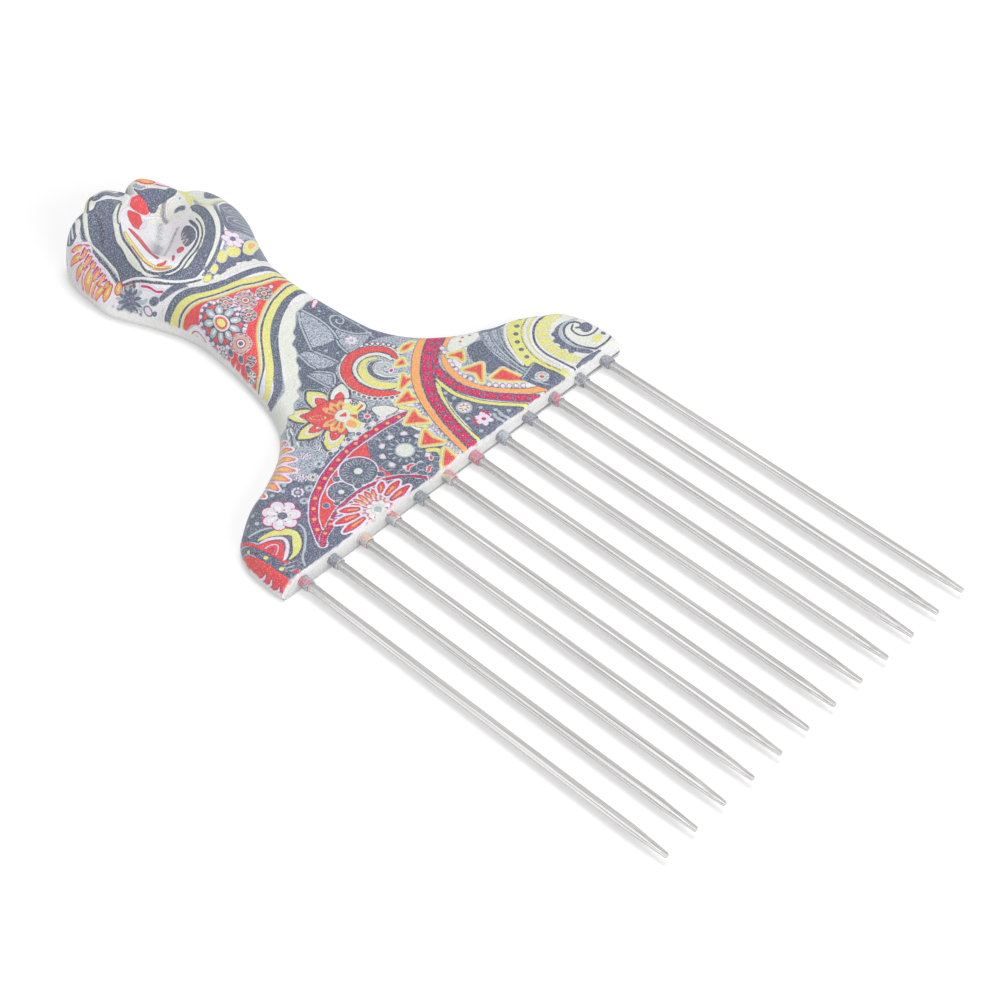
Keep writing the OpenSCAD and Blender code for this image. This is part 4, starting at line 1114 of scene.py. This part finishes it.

# Red smears in the hollow of the palm, and grey smears there that are partly print and partly painted shade
stroke("magenta", 0.8, (-7.2, 67.8, 0.7), (-6.9, 69.4), (-6.5, 71.6), (-6.2, 73.9, 0.3), line=0.14)
stroke("coral", 0.8, (-6.3, 71.2, 0.4), (-6.1, 73), (-5.9, 75), (-5.9, 76.5, 0.3), magenta=0.2)
stroke("coral", 0.55, (-8.2, 66.3), (-7.2, 66.1), (-6.3, 66.4, 0.5))
stroke("magenta", 0.5, (-5.4, 65.7, 0.5), (-4.7, 66.3), (-4.1, 67.1, 0.4))
field("coral", (-3.2, 66.5), (-2.2, 66.5), (-1.7, 67.5), (-2, 68.2), (-2.8, 67.4), magenta=0.16)
smear_with_shade(0.62, 2.6, (-5.2, 70.6), (-3.8, 72.2), (-2, 74))
smear_with_shade(0.5, 1.8, (-1.4, 74.6), (0.4, 76.4), (2, 78))
smear_with_shade(0.6, 1, (-4.8, 69), (-2.4, 71.2), (0, 72.8), (2.4, 73.6))
smear_with_shade(0.7, 1, (3, 77.4), (3.6, 79), (5, 80))
field("slate", (-1.2, 66.6), (0.5, 66.8), (1.8, 67.8), (2.6, 69), (3.1, 70.6), (3, 72), (1.8, 71.6),
      (0.8, 70.6), (0, 69.2), (-0.8, 68), plain=0.4, line=0.12)
stroke("plain", 0.24, (-1, 67.6), (0.4, 68.2), (-0.2, 69), (1, 69.6), (0.6, 70.6), (1.8, 71))

# Coral patches, slate beside them and the back of the thumb
field("coral", (-0.8, 82.6), (0.1, 83.6), (1.2, 84.5), (2.2, 84.5), (2.8, 83.4), (2.6, 82.1), (2.1, 81),
      (1, 80.9), (-0.2, 81.5), lilac=0.24)
stroke("lilac", 0.5, (2.9, 84.4), (2.9, 82.5), (2.6, 81), magenta=0.1)
field("coral", (-4.5, 77.4), (-3.6, 79.6), (-2.8, 80.8), (-2, 81.5), (-1, 81.5), (-0.2, 80.9), (-0.6, 80.1),
      (-1.5, 78.8), (-2.5, 77.8), (-3.7, 77), magenta=0.1)
stroke("lilac", 0.7, (-3.2, 77.2, 0.5), (-1.4, 78.4), (0.2, 79.8, 0.5))
field("slate", (2.9, 85.7), (3.3, 84.5), (4.2, 83.8), (5, 82.7), (5.7, 81.7), (6.5, 81.1), (7.7, 81.3),
      (8.6, 80.8), (7.8, 80.1), (6.6, 79.8), (5, 80.1), (4, 80.5), (2.9, 80.4), (2.3, 81), (2.8, 82.2),
      (2.8, 84), line=0.14)
stroke("stipple", 0.7, (3.4, 86.2), (3.7, 85.2), (4.3, 84.5, 0.5), cream=0.16)
field("lilac", (3.4, 90), (4.2, 86.6), (5.6, 84.2), (7, 82.4), (9.4, 81.4), (11, 83), (8, 88))
stroke("orange", 1.1, (4.6, 87.2, 0.5), (5.2, 85.6), (5.9, 84.2, 0.5), coral=0.28)
stroke("magenta", 0.35, (6, 83.4), (6.7, 82.2), (8, 81.8, 0.5), lilac=0.2)
stroke("plain", 0.4, (0.6, 80.6), (2.6, 79.6), (3.6, 78), (5, 79.4), (7.4, 79.4))
field("slate", (5, 77.2), (5.9, 77.5), (6.9, 76.8), (6.2, 76), (5.8, 76.7), stipple=0.2)
spot("stipple", 7.7, 78.8, 0.4, 0.5, 30)
stroke("lime", 1.1, (10.6, 80.6, 0.9), (9.5, 78.6), (8.6, 77.2, 0.7), (8, 76, 0.3))
field("lime", (8.8, 80), (10, 81.2), (13, 82.6), (17, 80.4), (20, 75.6), (16.4, 74.7), (12.6, 74),
      (10.2, 72.9), (9, 74), (9.4, 76.8))
field("cream", (9.6, 79), (12, 79.4), (15.4, 77.6), (16.6, 75.2), (12.6, 74.4), (10, 73.7), (9.4, 75.4),
      (10, 77.4))
field("slate", (11.4, 75.9), (12.2, 77), (13.3, 77.8), (14.6, 78), (15.8, 77.1), (16.6, 76.1), (14, 75.6),
      (12.6, 75.4), plain=0.3, line=0.12)

# Petals, teal flower and lines round the outer edge of the fist
field("plain", (-10.8, 84.9), (-12.3, 83), (-12.9, 80.5), (-13.7, 77), (-14.4, 74), (-15.6, 70.6),
      (-13.9, 68.2), (-10.2, 64.4), (-6, 61), (-8, 60.8), (-14, 61.6), (-20, 62), (-24, 74), (-20, 84),
      (-14, 90))
for base, tip, width in (
        ((-12.8, 80.6), (-14.9, 83.3), 1.2), ((-13.3, 79.9), (-17.2, 83), 1.3),
        ((-14, 78.7), (-18.9, 80.8), 1.4), ((-16.5, 73), (-20.2, 74.8), 1.2),
        ((-15.1, 75.1), (-20.4, 75.9), 0.9), ((-14.2, 77.7), (-19.9, 79), 0.9)):
    petal(base, tip, 1.3 * width, "orange", "coral", "lime", "lilac")
petal((-14.9, 76.9), (-20.4, 77.5), 2.8, "orange", "coral", "lime", "lilac")
field("lilac", (-12.9, 81.4), (-14, 81.2), (-15.2, 79), (-16, 76.6), (-17, 74), (-16.6, 72.8), (-15.4, 73),
      (-14.4, 75.4), (-13.7, 78.2))
for k, (x, y) in enumerate(spaced(1.5, (-13.2, 81), (-14.1, 78.4), (-14.9, 75.6), (-15.7, 73.4))):
    long = 1.6 + 0.6 * math.sin(2.3 * k)
    stroke("orange", 0.6, (x - 0.2, y - 0.7, 0.5), (x - 0.8 * long, y - 0.5), (x - 1.3 * long, y - 0.3, 0.3),
           magenta=0.16)
    stroke("magenta", 0.4, (x, y), (x - 0.6 * long, y + 0.1 * k, 0.8), (x - long, y + 0.12 * k, 0.3),
           lilac=0.2)
for shape in (
        ((-16.3, 72), (-19.2, 72.2), 1.8), ((-15.4, 70.5), (-16.8, 69.9), 2.1),
        ((-14.4, 68.2), (-15, 69.5), 1.3)):
    petal(*shape, "orange", "coral", "lime")
petals("teal", -16.8, 67.2, 11, 0.3, 3, 0.5, 8)
petals("slate", -16.8, 67.2, 11, 0.2, 2.5, 0.55, 24)
petals("slate", -16.8, 67.2, 9, 0.2, 1.7, 0.4)
dots("slate", 0.34, (-19.2, 68.6), (-19.4, 66.4), (-17.4, 64.4), (-15, 69.6), (-14.3, 67.6))
dots("coral", 0.12, (-16.2, 67.6), (-17.2, 66.6), (-16.4, 66.4))
dots("teal", 0.3, (-14.4, 66.2), (-18.8, 64.7), (-19.2, 69.9), (-16.2, 64.6))
spot("lilac", -15.8, 63.7, 0.65, slate=0.2)
spot("slate", -13.5, 63.5, 1, 0.55, -25, stipple=0.2)
spot("slate", -15.2, 62.5, 0.6, 0.6, -20)
spot("stipple", -17.8, 65.5, 0.4)
stroke("teal", 0.6, (-15.8, 65.6), (-15.2, 64.9), (-14.3, 64.7, 0.4))
stroke("magenta", 0.34, (-13.4, 66.4), (-12.4, 65.2), (-11.9, 64), (-10.9, 63.1), lilac=0.4)
stroke("slate", 0.95, (-12.2, 62.7, 0.6), (-10, 62.2), (-8.2, 61.6), (-6.8, 60.6, 0.4), lilac=0.14)
stroke("line", 0.34, (-15.2, 69.6), (-13.6, 67.7), (-12, 65.9), (-10, 64), (-8, 62.2), (-6.5, 61),
       (-5, 60.1), (-4.2, 59.8))
stroke("plain", 0.4, (-14.8, 69.9), (-13.4, 68.2), (-11.8, 66.4), (-9.8, 64.5), (-7.8, 62.6), (-6.3, 61.4),
       (-4.6, 60.5), (-2.6, 60.7))
field("slate", (-14.6, 84.4), (-12.6, 83.6), (-11.8, 84.6), (-10.6, 85.6), (-11, 88.5), (-14.6, 89))
for nodes_at in (
        ((-12.9, 82.5), (-12.2, 84), (-11.3, 85.1), (-11, 87)), ((-14.2, 84.8), (-13, 86), (-12.4, 88)),
        ((-13.2, 84.2), (-12.2, 85.6), (-11.8, 87.4))):
    stroke("plain", 0.4, *nodes_at)
for y in (86.2, 88):
    stroke("lilac", 0.5, (-17.4, y), (-15.8, y + 1.2), (-14.2, y + 1.6))
    stroke("slate", 0.4, (-17.8, y - 0.8), (-16, y + 0.5), (-14.4, y + 0.8))

# Far side of the fist, which continues the same bands
for y, ink, width in ((91.2, "slate", 2.2), (93.6, "cream", 1.2), (95.4, "lime", 1.3), (97.4, "slate", 1.6)):
    stroke(ink, width, (-16, y - 3), (-9, y - 0.6), (-2, y), (6, y - 1.4), (13, y - 5), (19, y - 11),
           line=0.22)
dots("coral", 0.55, *spaced(3.1, (-15, 89.4), (-8, 92.4), (-1, 93.2), (6, 91.6), (13, 87.6), (18, 83)),
     lilac=0.3, line=0.15)
for x, y in spaced(2.6, (21, 66), (21.6, 72), (20.6, 78), (17, 84)):
    petal((x, y), (x - 2.2, y + 0.8), 1.3, "lime", "line", "orange")

# Finish of the moulding: satin white plastic with a fine grain. The inks sit on it in their order,
# the dark ones full of tiny pale specks, which are partly print and partly painted highlights of the
# grain, and the print thins out low on the walls.
ink_colours = {
    "plain": (0.93, 0.93, 0.945), "stipple": (0.60, 0.645, 0.665), "slate": (0.345, 0.39, 0.465),
    "line": (0.28, 0.31, 0.37), "cream": (0.90, 0.915, 0.88), "lime": (0.90, 0.895, 0.545),
    "orange": (0.97, 0.69, 0.42), "coral": (0.90, 0.32, 0.335), "magenta": (0.81, 0.195, 0.40),
    "lilac": (0.925, 0.88, 0.945), "teal": (0.71, 0.765, 0.805), "tan": (0.80, 0.69, 0.655)}
ink_edge = 0.06
edge_wobble, end_wobble, end_softness = 0.16, 1.6, 0.35
rim_from, rim_to, rim_strength, rim_grey = 0.02, 0.11, 0.34, (0.37, 0.375, 0.45)
speck_scale, blotch_scale, tone_scale, grain_scale = 4600, 700, 90, 5600
# Specks: the stipple ink's dark and grey ones, and pale ones that are partly print and partly painted
# highlights
dark_speck, grey_speck, pale_speck_and_glint = (0.475, 0.515, 0.585), (0.81, 0.83, 0.875), (0.94, 0.93, 0.93)
slate_speck_and_glint = (0.81, 0.815, 0.86)
bluish, deeper = (1.12, 1, 1.12), (0.82, 0.66, 0.72)
# Grey of the smears in the palm's hollow, partly print and partly painted shade
smear_shade_grey, smear_shade_gain, smear_shade_cover = (0.36, 0.41, 0.45), 0.75, 0.85
# Grey of the collars, partly rubbed print and partly painted shade, and the white of the bare moulding
rubbed_grey, body_white = (0.78, 0.785, 0.79), (0.935, 0.935, 0.93)
satin_low, satin_high = 0.36, 0.5


def to_linear(colour):
    """A display colour as the linear colour that the shader takes."""
    return tuple(((c + 0.055) / 1.055) ** 2.4 if c > 0.04045 else c / 12.92 for c in colour) + (1,)


def blend_of(share, a, b):
    """A colour that goes from a to b by a share."""
    node = nodes.new("ShaderNodeMix")
    node.data_type = "RGBA"
    join(share, node.inputs["Factor"])
    join(a, node.inputs[6])
    join(b, node.inputs[7])
    return node.outputs[2]


def scaled(colour, factors):
    """A colour with each of its parts multiplied."""
    return tuple(c * f for c, f in zip(colour, factors)) + (1,)


def noise_of(scale, detail, stretch=None):
    """Noise fixed to the piece, drawn out along an axis where it has a stretch."""
    node = nodes.new("ShaderNodeTexNoise")
    node.inputs["Scale"].default_value = scale
    node.inputs["Detail"].default_value = detail
    place = nodes.new("ShaderNodeTexCoord").outputs["Object"]
    if stretch:
        turn = nodes.new("ShaderNodeMapping")
        turn.inputs["Scale"].default_value = stretch
        links.new(place, turn.inputs["Vector"])
        place = turn.outputs["Vector"]
    links.new(place, node.inputs["Vector"])
    return node.outputs["Fac"]


def depth_of(name):
    """A value that the mesh keeps at each point."""
    node = nodes.new("ShaderNodeAttribute")
    node.attribute_name = name
    return node.outputs["Fac"]


specks = noise_of(speck_scale, detail=3)
blotches = noise_of(blotch_scale, detail=2)
tones = noise_of(tone_scale, detail=1)
grain = noise_of(grain_scale, detail=2)
# A ramp over a noise goes between two of its levels. Its last two numbers are how strongly it shows
swing = sum_of("SUBTRACT", blotches, 0.5)
wobble = sum_of("MULTIPLY", swing, edge_wobble)
colour = None
deepest = None
for ink in ink_names:
    depth = depth_of(ink)
    shade = to_linear(ink_colours[ink])
    if ink == "stipple":
        shade = blend_of(ramp_of(specks, 0.4, 0.6), to_linear(dark_speck), to_linear(grey_speck))
    elif ink in ("slate", "line"):
        shade = blend_of(ramp_of(tones, 0.42, 0.6), shade, scaled(shade, bluish))
        # Pale specks on the dark inks: partly print, partly painted highlights of the grained plastic
        shade = blend_of(ramp_of(specks, 0.46, 0.7, 0, 0.62), shade, to_linear(slate_speck_and_glint))
    else:
        shade = blend_of(ramp_of(specks, 0.3, 0.48, 0.6, 0), shade, scaled(shade, deeper))
        # Pale specks on the other inks: partly print, partly painted highlights of the grained plastic
        shade = blend_of(ramp_of(specks, 0.52, 0.72, 0, 0.4), shade, to_linear(pale_speck_and_glint))
    if colour is None:
        colour, deepest = shade, depth
        continue
    ahead = sum_of("ADD", sum_of("SUBTRACT", depth, deepest), wobble)
    colour = blend_of(ramp_of(ahead, -ink_edge, ink_edge), colour, shade)
    rim = ramp_of(sum_of("ABSOLUTE", ahead), rim_from, rim_to, rim_strength, 0)
    colour = blend_of(rim, colour, to_linear(rim_grey))
    deepest = sum_of("MAXIMUM", deepest, depth)

# Painted shade: the grey smears darken the hollow of the palm, over the print's own smear
smeared_and_shaded = sum_of("ADD", sum_of("MULTIPLY", depth_of("haze"), smear_shade_gain), sum_of("SUBTRACT", specks, 1))
colour = blend_of(ramp_of(smeared_and_shaded, -0.3, 0.1, 0, smear_shade_cover), colour, to_linear(smear_shade_grey))
# Painted shade and wear: the collars are greyed all over, partly rubbed print and partly the shade on their
# sides
rubbed = sum_of("MULTIPLY", depth_of("rubbed"), ramp_of(specks, 0.4, 0.6, 0.3, 1))
colour = blend_of(rubbed, colour, to_linear(rubbed_grey))
printed_here = sum_of("ADD", depth_of("cover"), sum_of("MULTIPLY", swing, end_wobble))
colour = blend_of(ramp_of(printed_here, -end_softness, end_softness), to_linear(body_white), colour)
tone = sum_of("MULTIPLY", ramp_of(tones, 0.3, 0.7, 0.97, 1.03), ramp_of(grain, 0.32, 0.68, 0.86, 1.1))
tinted = nodes.new("ShaderNodeVectorMath")
tinted.operation = "SCALE"
links.new(colour, tinted.inputs[0])
links.new(tone, tinted.inputs["Scale"])
links.new(tinted.outputs["Vector"], shader.inputs["Base Color"])
links.new(ramp_of(grain, 0.3, 0.7, satin_low, satin_high), shader.inputs["Roughness"])


def bump(height, strength, distance):
    """Gives the shader a fine relief."""
    node = nodes.new("ShaderNodeBump")
    node.inputs["Strength"].default_value = strength
    node.inputs["Distance"].default_value = distance
    links.new(height, node.inputs["Height"])
    links.new(node.outputs["Normal"], shader.inputs["Normal"])


bump(sum_of("ADD", grain, specks), strength=0.35, distance=0.04 * mm)

# How far each point lies above the line where the print ends
head_fade, wrist_fade, fist_fade = 1.7, 3.0, 2.6
row_y = points[:, 1]
fade_z = np.where(row_y < wrist_y, mix(head_fade, wrist_fade, swell(row_y) / swell(wrist_y)),
                  mix(wrist_fade, fist_fade, ease((row_y - wrist_y) / (crown_y - wrist_y))))
cover = points[:, 2] - fade_z
cover[top_rows[0]] = np.minimum(cover[top_rows[0]], lip_drop / 2)
cover[lip_start:] = -lip_drop / 2
collar_fade_z, collar_fade_y = 1.2, -2.2
# Share of grey on the collars, partly rubbed print and partly painted shade
collar_rub_and_shade = 0.7
collar_cover = np.minimum(collar_points[:, 2] - collar_fade_z, collar_points[:, 1] - collar_fade_y)

place = points[:, :3] + (0, end_face_y, 0)
moulding = add_mesh("printed_moulding", (place * mm).tolist(), faces, [printed])
moulding.data.polygons.foreach_set("use_smooth", [True] * len(moulding.data.polygons))
moulded = len(points)
for piece, part, piece_cover, rub in ((moulding, slice(0, moulded), cover, 0),
                                      (collars, slice(moulded, None), collar_cover, collar_rub_and_shade)):
    kept = {name: depth[part] for name, depth in inked.items()}
    kept.update(haze=haze[part], rubbed=np.full(len(piece_cover), rub, float), cover=piece_cover)
    for name, values in kept.items():
        piece.data.attributes.new(name, "FLOAT", "POINT").data.foreach_set("value", values)
    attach(piece, "root")
    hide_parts("handle")

# Pins: drawn steel rods with a satin finish and short tapered, blunt tips. Fine lines run along them,
# and the steel is duller and grainier near the roots, where the moulding was made round it.
root_worn_len = 16
line_scale, worn_scale = (9000, 45, 9000), 7500
line_dark, line_pale = (0.79, 0.785, 0.78), (0.96, 0.955, 0.95)
worn_dark, worn_pale = (0.66, 0.66, 0.66), (0.90, 0.895, 0.89)
worn_cover, worn_rough, drawn_low, drawn_high = 0.85, 0.24, 0.13, 0.22
steel, nodes, links, shader = new_material("satin_steel")
lines = noise_of(1, detail=3, stretch=line_scale)
grainy = noise_of(worn_scale, detail=2)
shader.inputs["Metallic"].default_value = 1
split = nodes.new("ShaderNodeSeparateXYZ")
links.new(nodes.new("ShaderNodeTexCoord").outputs["Object"], split.inputs[0])
root_share = ramp_of(split.outputs["Y"], (end_face_y - root_worn_len) * mm, end_face_y * mm)
bright = blend_of(ramp_of(lines, 0.3, 0.7), to_linear(line_dark), to_linear(line_pale))
worn = blend_of(ramp_of(grainy, 0.36, 0.64), to_linear(worn_dark), to_linear(worn_pale))
links.new(blend_of(sum_of("MULTIPLY", root_share, worn_cover), bright, worn), shader.inputs["Base Color"])
drawn_roughness = ramp_of(lines, 0.3, 0.7, drawn_low, drawn_high)
links.new(sum_of("ADD", drawn_roughness, sum_of("MULTIPLY", root_share, worn_rough)),
          shader.inputs["Roughness"])
bump(lines, strength=0.25, distance=0.02 * mm)
for name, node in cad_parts.items():
    if name.startswith("pin_"):
        for slot in node.material_slots:
            slot.link = "OBJECT"
            slot.material = steel

bpy.context.scene.view_settings.view_transform = "Standard"
